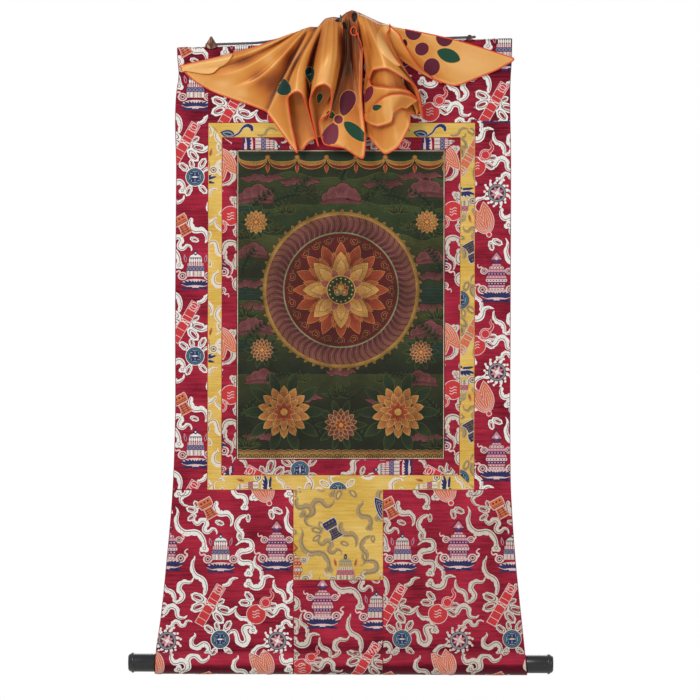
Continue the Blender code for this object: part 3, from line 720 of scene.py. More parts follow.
PAINT_GROUND = satin_ground("painted_cotton_ground", "#20281A", "#2E3820",
                            "#3C4428", roughness=0.75, sheen=0.0)
BACK_OF[PAINT_GROUND] = satin_ground("sized_cotton_back", "#9A8762", "#AF9C78", "#BEAC88",
                                     roughness=0.85, sheen=0.0)


# roller, cords and loops

END_RISE = 0.0003


def arc_run(points):
    """Length along a path up to each of its points."""
    return np.concatenate([[0.0], np.cumsum(np.linalg.norm(np.diff(points, axis=0), axis=1))])


def read_off(values, run, at):
    """Values along a path, read off at the given lengths."""
    return np.column_stack([np.interp(at, run, column) for column in values.T])


def tube(path, side, profile, name, looks, tone):
    """Carry a round profile along a path, with closed ends. side is a unit
    vector across the path at each point. Profile is a count of corners and
    a function that gives the radius by angle and step, and tone another,
    which gives the painted light and shade by angle and step."""
    path = np.asarray(path, float)
    ahead = np.gradient(path, axis=0)
    ahead /= np.linalg.norm(ahead, axis=1, keepdims=True)
    side = side - ahead * np.sum(side * ahead, axis=1, keepdims=True)
    side /= np.linalg.norm(side, axis=1, keepdims=True)
    other = np.cross(ahead, side)
    count, radius = profile
    angle = np.linspace(0, 2 * math.pi, count, endpoint=False)
    step = np.arange(len(path))[:, None]
    reach = radius(angle[None, :], step)
    ring = (path[:, None] + side[:, None] * (reach * np.cos(angle))[..., None]
            + other[:, None] * (reach * np.sin(angle))[..., None])
    faces = grid_faces(len(path), count, round_columns=True)
    points = np.vstack([ring.reshape(-1, 3), path[0] - ahead[0] * END_RISE,
                        path[-1] + ahead[-1] * END_RISE])
    n = len(path) * count
    ring_a = np.arange(count)
    ring_b = ring_a + (len(path) - 1) * count
    triangles = np.concatenate([faces[:, [0, 1, 2]], faces[:, [0, 2, 3]],
                                np.stack([np.full(count, n), ring_a, np.roll(ring_a, -1)], -1),
                                np.stack([np.full(count, n + 1), np.roll(ring_b, -1), ring_b], -1)])
    tone = np.concatenate([tone(angle[None, :], step).ravel(), [0.5, 0.5]])
    return make_piece(name, points, triangles[:, ::-1], looks, tone=tone)


def centripetal(lines, counts):
    """Smooth curves through the points of each line, all lines at once, with
    a count of steps for each stretch."""
    lines = np.asarray(lines, float)
    ends = np.concatenate([2 * lines[:, :1] - lines[:, 1:2], lines,
                           2 * lines[:, -1:] - lines[:, -2:-1]], 1)
    made = []
    for i, count in enumerate(counts):
        p = ends[:, i:i + 4]
        gaps = np.sqrt(np.linalg.norm(np.diff(p, axis=1), axis=2))
        knots = np.concatenate([np.zeros((len(lines), 1)), np.cumsum(gaps, 1)], 1)[..., None, None]
        t0, t1, t2, t3 = [knots[:, k] for k in range(4)]
        share = np.linspace(0, 1, count, endpoint=False)[None, :, None]
        t = t1 + (t2 - t1) * share
        q = [p[:, k][:, None] for k in range(4)]
        a1 = (t1 - t) / (t1 - t0) * q[0] + (t - t0) / (t1 - t0) * q[1]
        a2 = (t2 - t) / (t2 - t1) * q[1] + (t - t1) / (t2 - t1) * q[2]
        a3 = (t3 - t) / (t3 - t2) * q[2] + (t - t2) / (t3 - t2) * q[3]
        b1 = (t2 - t) / (t2 - t0) * a1 + (t - t0) / (t2 - t0) * a2
        b2 = (t3 - t) / (t3 - t1) * a2 + (t - t1) / (t3 - t1) * a3
        made.append((t2 - t) / (t2 - t1) * b1 + (t - t1) / (t2 - t1) * b2)
    made.append(lines[:, -1:])
    return np.concatenate(made, 1)


def even_path(points, count, fineness=24):
    """Evenly spaced points on the smooth curve through the given ones, and
    its length."""
    points = np.array(points, float)
    fine = centripetal(points[None], [fineness] * (len(points) - 1))[0]
    run = arc_run(fine)
    return read_off(fine, run, np.linspace(0.0, run[-1], count)), run[-1]


CORD_ROUTE = ((205.6, 44.6), (211.0, 44.5), (225.0, 44.0), (241.0, 43.5),
              (257.0, 42.8), (270.0, 41.2), (280.0, 39.0), (290.0, 35.9),
              (300.0, 33.8), (315.0, 31.3), (330.0, 25.2), (343.0, 19.2),
              (352.0, 12.45), (362.0, 17.6), (380.0, 26.0), (395.0, 31.0),
              (420.0, 35.9), (441.0, 38.0), (455.0, 37.7), (469.5, 37.2),
              (475.6, 36.8))
CORD_RADIUS = 0.0020
TIE_ACROSS = 340.6
TIE_RADIUS = 0.0013
TIE_ROUTE = ((8.0, -8.2), (3.4, -8.2), (-0.4, -5.4), (-1.6, -2.0), (-0.6, 2.7), (2.2, 6.75), (4.6, 9.15))


def braided_tube(route, count, corners, radius, pitch, across, name):
    """A braided cord along a route: ridges of two crossing helices of four
    strands, with a painted highlight on the ridges and painted shade
    between them."""
    strands = 4
    path, length = even_path(route, count)
    step = length / (count - 1)

    def ridge_at(angle, index):
        turn = index * step / pitch * 2 * math.pi
        one = np.abs(np.cos((angle * strands + turn) / 2))
        two = np.abs(np.cos((angle * strands - turn) / 2))
        return np.maximum(one, two)

    def radius_at(angle, index):
        return radius * (0.86 + 0.14 * ridge_at(angle, index) ** 0.5)

    # painted highlight on the ridges, painted shade between the strands
    def painted_light_at(angle, index):
        return ridge_at(angle, index) ** 3
    side = np.tile(across, (len(path), 1))
    cord = tube(path, side, (corners, radius_at), name, [CORD_LOOK], painted_light_at)
    return cord, path


def add_cords():
    """The hanging cord and the tie over the veil, as braided tubes."""
    route = place(*np.array(CORD_ROUTE).T)
    route[:, 1] = 0.0
    cord, path = braided_tube(route, 640, 16, CORD_RADIUS, 0.007, (0.0, 1.0, 0.0),
                              "braided_hanging_cord")
    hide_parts("hanging_cord")
    top = head_height(TIE_ACROSS)
    route = np.array([place(TIE_ACROSS, top + drop, forward) for drop, forward in TIE_ROUTE])
    tie, _ = braided_tube(route, 90, 12, TIE_RADIUS, 0.005, (1.0, 0.0, 0.0), "braided_gather_tie")
    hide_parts("gather_tie")


def add_knobs():
    """Turned knobs: a profile of radius and length, spun round the axis of
    the roller in 96 steps."""
    (x0, y0), (x1, y1) = ROLLER_AXIS
    ends = np.array([place(x0, y0), place(x1, y1)])
    ends[:, 1] = 0.0
    along = (ends[1] - ends[0]) / np.linalg.norm(ends[1] - ends[0])
    rows = (("left_knob", 156.5, x0, -1.0), ("right_knob", 525.0, x1, 1.0))
    for name, inner, outer, way in rows:
        start = place(inner, line_at(ROLLER_AXIS, inner))
        stop = place(outer, line_at(ROLLER_AXIS, outer))
        start[1] = stop[1] = 0.0
        length = np.linalg.norm(stop - start)
        lip = length - 0.0095

        def arc(r, z, size, first, last, count):
            a = np.radians(np.linspace(first, last, count))
            return np.column_stack([r + size * np.cos(a), z + size * np.sin(a)])
        profile = np.vstack([
            [(0.0, length), (0.0030, length - 0.00004),
             (0.0062, length - 0.0002)],
            arc(0.0088, length - 0.0048, 0.0045, 80, 12, 10),
            [(0.0138, lip + 0.0047), (0.0139, lip + 0.0044)],
            arc(0.0136, lip + 0.0022, 0.0018, 60, -60, 10),
            [(0.0137, lip), (0.0137, lip - 0.0003), (0.0137, 0.0009),
             (0.0135, 0.0005), (0.0131, GAP), (0.0070, GAP),
             (0.0070, -0.0227), (0.0060, -0.0237), (0.0, -0.0237)]])
        turn = np.linspace(0, 2 * math.pi, 96, endpoint=False)
        side = np.array((0.0, 1.0, 0.0))
        other = np.cross(along * way, side)
        ring = (start + along * way * profile[:, 1, None, None] + profile[:, 0, None, None]
                * (side * np.cos(turn)[:, None] + other * np.sin(turn)[:, None]))
        quads = grid_faces(len(profile), len(turn), round_columns=True)
        knob = make_piece(name + "_turned", ring, quads, [LACQUER])
        tidy_mesh(knob)
        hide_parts(name)


def tidy_mesh(piece):
    """Merge doubles, drop empty faces and point all faces outwards."""
    shape = bmesh.new()
    shape.from_mesh(piece.data)
    bmesh.ops.remove_doubles(shape, verts=shape.verts, dist=1e-6)
    bmesh.ops.dissolve_degenerate(shape, edges=shape.edges, dist=1e-7)
    loose = [spot for spot in shape.verts if not spot.link_faces]
    bmesh.ops.delete(shape, geom=loose, context="VERTS")
    bmesh.ops.recalc_face_normals(shape, faces=shape.faces)
    shape.to_mesh(piece.data)
    shape.free()


# share of half the strip at which it goes from the rise into the ends
LOOP_BEND = 0.70
# name, middle, half width, rise of the top, drop of the ends, roundness
LOOPS = (
    ("left_loop", 211.2, 6.6, 9.6, 2.8, 1.0),
    ("right_loop", 469.6, 3.6, 4.2, 1.2, 0.45),
)


def add_loops():
    """Folded brocade loops: a strip that goes up one side of the hem, to a
    point or a round top, and down the other side."""
    leg = CLOTH + GAP - FACE_Y
    for name, across, half_width, rise, drop, roundness in LOOPS:
        top = line_at(TOP_EDGE, across)
        t = np.linspace(-1.0, 1.0, 81)[:, None]
        s = np.linspace(-1.0, 1.0, 17)[None, :]
        reach = np.abs(t)
        low = reach > LOOP_BEND
        share = np.where(low, (reach - LOOP_BEND) / (1 - LOOP_BEND), reach / LOOP_BEND)
        down = np.where(low, top + drop * share, top - rise * (1 - share))
        y = np.sign(t) * leg * np.where(low, 1.0, np.sin(share * math.pi / 2) ** 0.7)
        width = half_width * np.where(low, 1.0 - 0.85 * share, 0.12 + 0.88 * share ** roundness)
        x = across + s * width
        grid = place(x, down + 0 * s)
        grid[..., 1] = y + 0 * s
        spots = np.stack([x, down + 0 * s + 8 * t], -1)
        piece = make_piece(name + "_folded", grid, grid_faces(*grid.shape[:2]), [LOOP_LOOK], spots=spots)
        tidy_mesh(piece)
        thicken(piece, CLOTH)
        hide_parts(name)


def loop_brocade():
    """Scrap of brown brocade: small light and dark woven patches."""
    look, tree, shader = new_look("brown_brocade_scrap", Roughness=0.6, Sheen_Weight=0.2)
    patch = put(tree, "TexNoise",
                {"Vector": cloth_place(tree, 5.0, 7.0), "Scale": 1.0, "Detail": 3.0, "Distortion": 1.2})
    dye_and_relief(tree, shader, patch.outputs["Fac"],
                   ((0.36, "#2A1A14"), (0.46, "#6A3A26"), (0.54, "#7E4A34"), (0.60, "#C09070")))
    return look


LOOP_LOOK = loop_brocade()


# figured weave: shapes on the plan

def strip(path, left, right, cells=2):
    """A band beside a path: rows along the path, columns from the left
    distance to the right distance, both measured square to the path."""
    ahead = np.gradient(path, axis=0)
    ahead /= np.maximum(np.linalg.norm(ahead, axis=1, keepdims=True), 1e-9)
    square = np.column_stack([-ahead[:, 1], ahead[:, 0]])
    s = np.linspace(0.0, 1.0, cells + 1)[None, :, None]
    reach = (np.asarray(left)[:, None, None] * (1 - s) + np.asarray(right)[:, None, None] * s)
    return path[:, None] + square[:, None] * reach


def around(x, y, reach, turn):
    """The point at a reach from a middle, its turn counted from the top."""
    return x + reach * math.sin(turn), y - reach * math.cos(turn)


def thin_line(path, half, thread, level):
    """A line of thread of even width along a path."""
    half = np.full(len(path), half)
    return [(strip(path, -half, half, 1), thread, level)]


def wave_path(start, stop, sway, bends, curl=0.35):
    """From start to stop, swaying to both sides as a sine and leaning along
    its own way by a share of the sway, so that the bends overhang."""
    start = np.array(start, float)
    stop = np.array(stop, float)
    t = np.linspace(0.0, 1.0, 45)
    way = stop - start
    square = np.array([-way[1], way[0]]) / np.linalg.norm(way)
    forth = way / np.linalg.norm(way)
    a = math.pi * bends * t
    side = sway * np.sin(a) * (0.55 + 0.45 * np.sin(math.pi * t))
    lean = -curl * sway * np.sin(2 * a)
    return (start + way * t[:, None] + square * side[:, None] + forth * lean[:, None])


def ribbon(start, stop, sway, bends, width, head=0.0):
    """A woven ribbon: a band that swells and thins to a point, one edge cut
    in scallops, with a dark line beside that edge. Head adds a cloud knob
    where it starts."""
    path = wave_path(start, stop, sway, bends, 0.22)
    t = np.linspace(0.0, 1.0, len(path))
    swell = np.sin(math.pi * np.clip(t * 0.94 + 0.06, 0, 1)) ** 0.75
    body = width * (0.10 + 1.05 * swell * (1 - 0.35 * t))
    scallop = 0.20 * body * np.abs(np.sin(t * math.pi * bends * 3))
    inked = [(strip(path, -body / 2 - scallop, body / 2), "white", 1)]
    dark = slice(3, len(path) - 5)
    mid = body[dark] * 0.17
    inked.append((strip(path[dark], mid - 0.055 * width, mid + 0.055 * width, 1), "line", 2))
    if head:
        inked += cloud(*path[1], head)
    return inked


def disc(x, y, radius, thread, level, wide=1.0, lobes=0, depth=0.12,
         turn=0.0, inner=0.0, cells=24, rows=3):
    """A round or lobed patch, or a ring: radius times one plus depth times
    the cosine of the lobes' angle."""
    a = np.linspace(0.0, 2 * math.pi, cells + 1)
    r = radius * (1 + depth * np.cos(lobes * a)) if lobes else radius + 0 * a
    s = np.linspace(inner, 1.0, rows)[:, None]
    px = s * r * np.cos(a) * wide
    py = s * r * np.sin(a)
    c, d = math.cos(turn), math.sin(turn)
    return [(np.stack([x + px * c - py * d, y + px * d + py * c], -1), thread, level)]


def cloud(x, y, size):
    """A cloud knob: three round lobes and a small dark hook."""
    made = []
    for k in range(3):
        turn = 0.6 + k * 2.1
        made += disc(x + 0.5 * size * math.cos(turn), y + 0.5 * size * math.sin(turn), size * 0.66,
                     "white", 1, cells=14)
    return made + disc(x, y, size * 0.40, "line", 2, inner=0.70, cells=14)


def loop(x, y, length, turn):
    """A loop of ribbon from a knot: a scalloped oval, with a dark line
    inside it and the ground showing in its slit."""
    cx, cy = around(x, y, length * 0.52, turn)
    lie = turn - math.pi / 2
    made = disc(cx, cy, length * 0.30, "white", 1, wide=1.75, lobes=7, depth=0.06, turn=lie)
    made += disc(cx, cy, length * 0.195, "line", 2, inner=0.84, wide=1.9, turn=lie)
    return made + disc(*around(cx, cy, 0.05 * length, turn), length * 0.095,
                       "ground", 3, wide=2.6, turn=lie)


def petal(x, y, length, width, turn, thread, level, cells=7):
    """A pointed oval from its root: half width is a sine of the length."""
    t = np.linspace(0.0, 1.0, cells + 1)
    path = np.stack([x + length * t * math.sin(turn), y - length * t * math.cos(turn)], -1)
    half = width / 2 * np.sin(math.pi * t ** 0.8) ** 0.8
    return [(strip(path, -half, half), thread, level)]


def tier(x, y, top, low, height, thread, level, bulge=0.0, turn=0.0, centre=(0.0, 0.0)):
    """A band of a stacked figure: its half width goes from top to low, with
    a bulge in the middle. Turned about the centre. A tall band has enough
    rows to follow the cloth round the roller."""
    v = np.linspace(0.0, 1.0, max(3, 2 + int(height / 1.8)))[:, None]
    u = np.linspace(-1.0, 1.0, 5)[None, :]
    half = top + (low - top) * v + bulge * np.sin(math.pi * v)
    px = x + u * half
    py = y + height * v + 0 * u
    c, d = math.cos(turn), math.sin(turn)
    qx, qy = px - centre[0], py - centre[1]
    return [(np.stack([centre[0] + qx * c - qy * d, centre[1] + qx * d + qy * c], -1), thread, level)]


def medallion(x, y):
    """Round fret: dark disc, grey-blue ring, and level and upright bars."""
    made = disc(x, y, 9.6, "white", 3) + disc(x, y, 8.9, "navy", 4)
    made += disc(x, y, 8.2, "teal", 5, inner=0.82)
    for k in range(4):
        turn = k * math.pi / 2
        made += tier(x, y - 6.0, 2.9, 1.9, 1.1, "mist", 5, turn=turn, centre=(x, y))
        made += tier(x, y - 4.2, 0.55, 0.55, 2.6, "mist", 5, turn=turn, centre=(x, y))
        made += tier(x + 3.6, y - 4.9, 0.5, 0.5, 2.6, "mist", 5, turn=turn, centre=(x, y))
    made += tier(x, y - 0.7, 2.2, 2.2, 1.4, "white", 6)
    for side in (-1, 1):
        made += tier(x + side * 4.2, y - 2.6, 0.5, 0.5, 5.2, "teal", 5)
    return made


def wheel(x, y):
    """Eight-spoked wheel in a ring of ragged curls."""
    made = []
    for k in range(13):
        turn = k * 2 * math.pi / 13 + 0.2
        long = 5.6 + 1.6 * math.cos(k * 2.4)
        made += petal(*around(x, y, 8.0, turn), long, 3.2, turn + 0.5, "white", 1)
        made += disc(*around(x, y, 9.5 + long * 0.72, turn + 0.28), 1.25, "white", 1, cells=10)
    made += disc(x, y, 9.2, "line", 3) + disc(x, y, 8.6, "mist", 4)
    made += disc(x, y, 7.0, "line", 5)
    for k in range(8):
        turn = k * math.pi / 4 + math.pi / 8
        made += petal(x, y, 6.8, 2.6, turn, "pink" if k % 2 else "rose", 6)
    made += disc(x, y, 2.0, "white", 7, lobes=4, depth=0.2)
    return made


def lotus(x, y, half, high, petals=9):
    """Open lotus seen from the side: a light fan with dark petals."""
    t = np.linspace(-1.0, 1.0, 25)
    top = y - high * 0.62 * np.sqrt(np.clip(1 - t ** 2, 0, 1)) ** 0.8
    low = y + high * 0.38 * (1 - t ** 2)
    s = np.linspace(0.0, 1.0, 4)[None, :]
    px = (x + half * t)[:, None] + 0 * s
    py = top[:, None] * (1 - s) + low[:, None] * s
    made = [(np.stack([px, py], -1), "rose", 3)]
    for k in range(petals):
        turn = (k - (petals - 1) / 2) / ((petals - 1) / 2)
        lean = turn * 1.28
        rx = x + turn * half * 0.42
        made += petal(rx, y + high * 0.10, high * 0.50 + half * 0.44 * abs(turn) ** 1.5, half * 0.20,
                      lean, "navy", 5)
        made += petal(rx, y + high * 0.34, half * 0.50 * abs(turn) ** 1.2 + 1.6, half * 0.17,
                      math.copysign(1.75, turn + 1e-6) if abs(turn) > 0.3 else math.pi, "navy", 5)
    return made


def side_scroll(x, y, size, way):
    """Small rolled cloud beside a figure, with a lifted tail."""
    made = disc(x, y, size, "rose", 3, wide=1.15)
    made += disc(x, y, size * 0.72, "line", 4, inner=0.72)
    made += disc(x, y, size * 0.30, "line", 4)
    path = wave_path((x + way * size * 0.7, y - size * 0.2),
                     (x + way * size * 1.7, y - size * 2.0), size * 0.5, 2)
    width = np.linspace(size * 0.28, size * 0.10, len(path))
    return made + [(strip(path, -width, width, 1), "rose", 3)]


def banner(x, y):
    """Round victory banner on a lotus: finial, roof, hanging tongues and
    bands, with rolled clouds at both sides."""
    made = petal(x, y - 14.5, 6.0, 3.4, 0.0, "navy", 4)
    made += disc(x, y - 17.0, 0.9, "white", 5, cells=12)
    made += tier(x, y - 16.0, 1.2, 6.2, 3.4, "white", 3, bulge=1.2)
    made += tier(x, y - 12.8, 6.4, 6.8, 1.1, "mist", 4)
    for k in range(6):
        px = x - 5.6 + k * 2.24
        made += petal(px, y - 11.8, -5.0, 1.9, 0.0, "white", 4)
    made += tier(x, y - 7.0, 7.6, 7.9, 3.2, "rose", 3)
    for k in range(7):
        made += tier(x - 6.6 + k * 2.2, y - 6.8, 0.32, 0.32, 2.8, "line", 4)
    made += tier(x, y - 3.8, 8.4, 9.2, 4.8, "purple", 4)
    for k in range(5):
        made += disc(x - 7.0 + k * 3.5, y - 1.2, 1.7, "mist", 5, inner=0.62, cells=14)
    made += tier(x, y + 1.0, 9.0, 10.2, 5.6, "rose", 3)
    for k in range(6):
        made += tier(x - 7.6 + k * 3.04, y + 1.4, 0.9, 1.05, 4.8, "white" if k % 2 else "beige", 4)
        made += tier(x - 9.1 + k * 3.64, y + 1.2, 0.26, 0.26, 5.2, "line", 5)
    for way in (-1, 1):
        made += side_scroll(x + way * 13.0, y + 6.0, 4.2, way)
        made += petal(x + way * 9.4, y - 7.5, 8.6, 3.0, way * 0.22, "pink", 3)
        made += petal(x + way * 9.4, y - 8.2, 6.0, 1.2, way * 0.22, "line", 4)
    return made + lotus(x, y + 14.5, 14.0, 9.0)


def vase(x, y):
    """Tall treasure vase on a lotus: jewel, neck and rounded bands."""
    made = tier(x, y - 30.0, 0.4, 6.8, 8.6, "line", 3)
    made += tier(x, y - 21.6, 6.8, 1.6, 5.0, "line", 3)
    made += tier(x, y - 28.0, 0.3, 5.4, 6.8, "pink", 4)
    made += tier(x, y - 21.4, 5.4, 1.0, 3.6, "purple", 4)
    made += disc(x, y - 22.4, 1.8, "rose", 5, cells=14)
    bands = ((-17.0, 3.6, 5.0, 2.6, "pink"), (-14.4, 6.6, 7.4, 2.8, "rose"),
             (-11.6, 8.2, 9.4, 3.6, "pink"), (-8.0, 9.8, 9.4, 2.6, "purple"),
             (-5.4, 8.8, 10.4, 3.6, "pink"), (-1.8, 10.6, 10.2, 3.4, "rose"),
             (1.6, 9.8, 9.0, 2.6, "purple"), (4.2, 8.6, 8.2, 2.8, "pink"),
             (7.0, 7.2, 9.2, 3.4, "rose"))
    for drop, top, low, high, thread_name in bands:
        made += tier(x, y + drop, top + 0.5, low + 0.5, high, "line", 3)
        made += tier(x, y + drop + 0.3, top, low, high - 0.6, thread_name, 4, bulge=0.3)
        count = int(low / 1.7)
        for k in range(-count, count + 1, 2):
            made += disc(x + k * 1.5, y + drop + high / 2, 0.62,
                         "line" if thread_name == "rose" else "rose", 5, cells=8)
    for way in (-1, 1):
        made += side_scroll(x + way * 12.4, y - 9.5, 3.4, way)
        made += side_scroll(x + way * 14.0, y + 9.0, 4.4, way)
    return made + lotus(x, y + 16.0, 15.5, 10.5, 11)


def scroll_case(x, y, turn):
    """Tied scroll: a long red roll with thin light lines, a knot of bands
    at its middle and a small spiral at its upper end."""
    c = (x, y)
    made = tier(x, y - 22.5, 5.2, 5.2, 45.0, "rose", 3, turn=turn, centre=c)
    made += tier(x, y - 21.8, 4.5, 4.5, 43.6, "coral", 4, turn=turn, centre=c)
    for drop, high in ((-14.0, 0.7), (-6.8, 0.6), (-2.4, 0.7), (0.4, 0.7), (8.0, 0.6), (15.4, 0.6)):
        made += tier(x, y + drop, 4.6, 4.6, high, "rose", 5, turn=turn, centre=c)
    c1, s1 = math.cos(turn), math.sin(turn)
    for drop in (-19.0, -16.4):
        made += disc(*around(x, y, -drop, turn), 3.4, "rose", 5, inner=0.78, wide=1.2, turn=turn)
    for way in (-1, 1):
        path = wave_path((x - way * 4.6 * c1 + 1.8 * s1, y - way * 4.6 * s1 - 1.8 * c1),
                         (x + way * 4.6 * c1 - 1.8 * s1, y + way * 4.6 * s1 + 1.8 * c1), 0.5, 1)
        made += thin_line(path, 0.35, "white", 6)
    return made


def gourd(x, y):
    """Tied gourd: a large and a small round, a hooked stem, a light line
    round both and a small fret of lines on the large one."""
    sx, sy = x + 9.4, y - 11.6
    made = disc(x, y, 10.0, "rose", 3) + disc(sx, sy, 6.0, "rose", 3)
    made += disc(x, y, 9.3, "coral", 4) + disc(sx, sy, 5.3, "coral", 4)
    made += disc(sx, sy, 4.4, "rose", 5, inner=0.86)
    path = wave_path((sx + 3.4, sy - 3.4), (sx + 7.4, sy - 14.0), 2.2, 1.6)
    width = np.linspace(2.2, 0.7, len(path))
    made.append((strip(path, -width, width), "rose", 3))
    made.append((strip(path, -width * 0.62, width * 0.62), "coral", 4))
    for k in range(3):
        path = wave_path((x - 3.6, y - 3.0 + k * 2.8), (x + 3.4, y - 3.4 + k * 2.8), 0.9, 2, 0.0)
        made += thin_line(path, 0.4, "rose", 5)
    path = wave_path((x + 1.6, y - 9.6), (x + 9.0, y - 4.2), 0.8, 1)
    return made + thin_line(path, 0.5, "white", 6)


def drum(x, y, turn):
    """Waisted drum: ribbed body with a rim of dots and a flared foot."""
    c = (x, y)
    made = tier(x, y - 9.0, 7.4, 6.4, 9.6, "rose", 3, 0.8, turn, c)
    made += tier(x, y - 8.2, 6.6, 5.8, 8.2, "orange", 4, 0.8, turn, c)
    c1, s1 = math.cos(turn), math.sin(turn)
    for k in (-1, 0, 1):
        px, py = k * 3.7, -5.6
        made += disc(x + px * c1 - py * s1, y + px * s1 + py * c1, 1.05, "line", 5, cells=10)
    for drop in (-2.8, -1.2):
        made += tier(x, y + drop, 6.0, 5.9, 0.55, "line", 5, 0.5, turn, c)
    made += tier(x, y + 0.4, 5.0, 7.4, 11.4, "rose", 3, -1.2, turn, c)
    made += tier(x, y + 1.0, 4.4, 6.8, 10.2, "orange", 4, -1.2, turn, c)
    for k in range(4):
        made += tier(x, y + 2.2 + k * 2.3, 3.4 + k * 0.55, 3.6 + k * 0.55, 0.6, "line", 5, 0.0, turn, c)
    for k in (-1, 1):
        made += tier(x + k * 2.4, y + 1.6, 0.3, 0.3, 8.6, "line", 6, 0.0, turn, c)
    return made


def ribbed_leaf(x, y, turn):
    """Ribbed double leaf: two broad petals side by side from one knot, with
    ribs that follow their outline inwards."""
    made = []
    rows = ((33.0, 15.5, "rose"), (31.2, 13.9, "orange"), (27.4, 10.9, "rose"), (26.2, 9.9, "orange"),
            (22.4, 7.0, "rose"), (21.2, 6.0, "orange"), (16.8, 3.2, "rose"), (15.6, 2.2, "orange"))
    for k in (-1, 1):
        lean = turn + k * 0.23
        for level, (long, wide, colour) in enumerate(rows):
            root = 0.8 + 0.7 * level
            made += petal(*around(x, y, root, lean), long, wide, lean, colour, 3 + level * 0.5, 12)
    return made + disc(x, y, 3.0, "rose", 7) + disc(x, y, 2.0, "coral", 8)


def leaf_spray(x, y):
    """A level navy leaf with a pale heart, and beside it a bowed stalk that
    swells to a bud. It lies between two thin ribbons."""
    made = petal(x, y, 15.0, 8.4, -1.35, "navy", 3, 10)
    made += petal(x - 1.6, y - 0.3, 11.6, 5.4, -1.35, "mist", 4, 10)
    made += petal(x - 3.0, y - 0.6, 8.6, 2.2, -1.35, "navy", 5, 8)
    path = along_line(((x - 2.0, y + 1.0), (x + 4.0, y - 2.6), (x + 8.0, y - 8.0), (x + 12.4, y - 10.2),
                       (x + 16.4, y - 8.2), (x + 17.0, y - 4.6)), 30)
    half = np.interp(np.linspace(0, 1, 30), (0, 0.5, 0.8, 1), (0.7, 0.9, 1.9, 1.2))
    made.append((strip(path, -half - 0.5, half + 0.5), "rose", 3))
    made.append((strip(path, -half, half), "navy", 4))
    made += ribbon((x + 22.0, y - 1.0), (x + 44.0, y - 7.0), 2.6, 2.4, 2.6)
    return made + ribbon((x - 18.0, y - 4.0), (x - 32.0, y - 8.0), 2.2, 1.6, 2.6)


# the two columns of the repeat stand at 0 and 56 across. One row a ribbon:
# from, to, sway, bends, width, head
REPEAT = (110.0, 179.0)
RIBBONS = (
    ((-16, -90), (-48, -131), 7.0, 2.4, 5.6, 4.2),
    ((-26, -121), (-4, -105), 4.4, 4.0, 4.6, 0.0),
    ((-3, -138), (10, -113), 5.6, 2.0, 5.6, 0.0),
    ((26, -124), (14, -96), 6.4, 1.8, 4.4, 0.0),
    ((27, -66), (23, -110), 8.0, 4.0, 5.4, 4.0),
    ((-16, -44), (-27, -84), 4.6, 2.2, 5.0, 0.0),
    ((-3, -36), (18, -30), 7.0, 1.2, 5.2, 0.0),
    ((2, -54), (18, -61), 1.8, 2.0, 3.6, 0.0),
    ((-45, -37), (-29, -63), 5.0, 2.6, 5.0, 0.0),
    ((-46, -37), (-56, -60), 3.0, 2.0, 4.4, 0.0),
    ((28, -56), (53, -59), 6.0, 1.7, 5.6, 4.4),
    ((46, -31), (77, -24), 5.2, 3.0, 5.2, 0.0),
    ((33, -8), (9, 0), 8.8, 3.0, 5.6, 4.0),
    ((32, -10), (15, -32), 3.6, 2.0, 4.2, 0.0),
    ((-13, 14), (-29, -5), 6.4, 2.4, 5.2, 3.4),
    ((56, -14), (82, -17), 2.6, 4.0, 3.6, 0.0),
    ((33, -142), (43, -178), 5.8, 2.4, 5.4, 4.2),
    ((63, -162), (78, -134), 6.0, 3.0, 5.0, 0.0),
    ((-42, -146), (-11, -161), 5.8, 3.0, 5.4, 4.2),
    ((24, -132), (15, -160), 5.0, 2.4, 5.0, 3.6),
    ((40, -60), (36, -84), 3.0, 2.0, 3.6, 0.0),
)
# loops of ribbon: knot across, knot down, length, turn
LOOPS_OF_RIBBON = (
    (-13, -36, 17.0, -1.95), (-14, -38, 16.0, -1.15), (-13, -33, 13.0, -2.7),
    (-5, -31, 15.0, 1.75), (-7, -28, 15.0, 2.45), (-5, -35, 10.0, 1.1),
    (32, -36, 13.0, -1.5), (33, -38, 12.0, -0.7), (44, -30, 12.0, 2.2),
    (45, -33, 12.0, 1.5), (-6, -6, 12.0, -0.9), (-2, -8, 9.5, -0.25),
    (4, -8, 12.0, 0.55), (-4, 8, 11.5, -2.75), (4, 8, 11.0, 2.4),
    (-22, -128, 12.0, -1.3), (-22, -130, 9.0, -0.4), (-24, -125, 10.0, -2.2),
    (28, -117, 8.0, 0.0), (-5, -118, 9.0, 1.9), (52, -131, 11.0, 2.0),
    (50, -130, 10.0, 2.9),
)


def repeat_figures():
    """One repeat of the brocade: ribbons, curls and eight emblems."""
    inked = []
    for row in RIBBONS:
        inked += ribbon(*row)
    for row in LOOPS_OF_RIBBON:
        inked += loop(*row)
    inked += medallion(0.0, 0.0) + wheel(57.0, 1.5)
    inked += drum(-13.0, -132.0, -0.5) + ribbed_leaf(49.0, -136.0, -0.40)
    inked += banner(0.5, -86.0) + vase(56.5, -90.0)
    inked += scroll_case(-10.0, -34.0, 0.52) + gourd(36.0, -25.0)
    return inked


def own_share(number):
    """A share from 0 to 1 of its own for each number, by golden steps."""
    return number * 0.618 % 1


def split_quads(values, quads):
    """The corners of two triangles for each quad: all first ones, then all
    second ones."""
    return np.concatenate([values[quads[:, [0, 1, 2]]], values[quads[:, [0, 2, 3]]]])


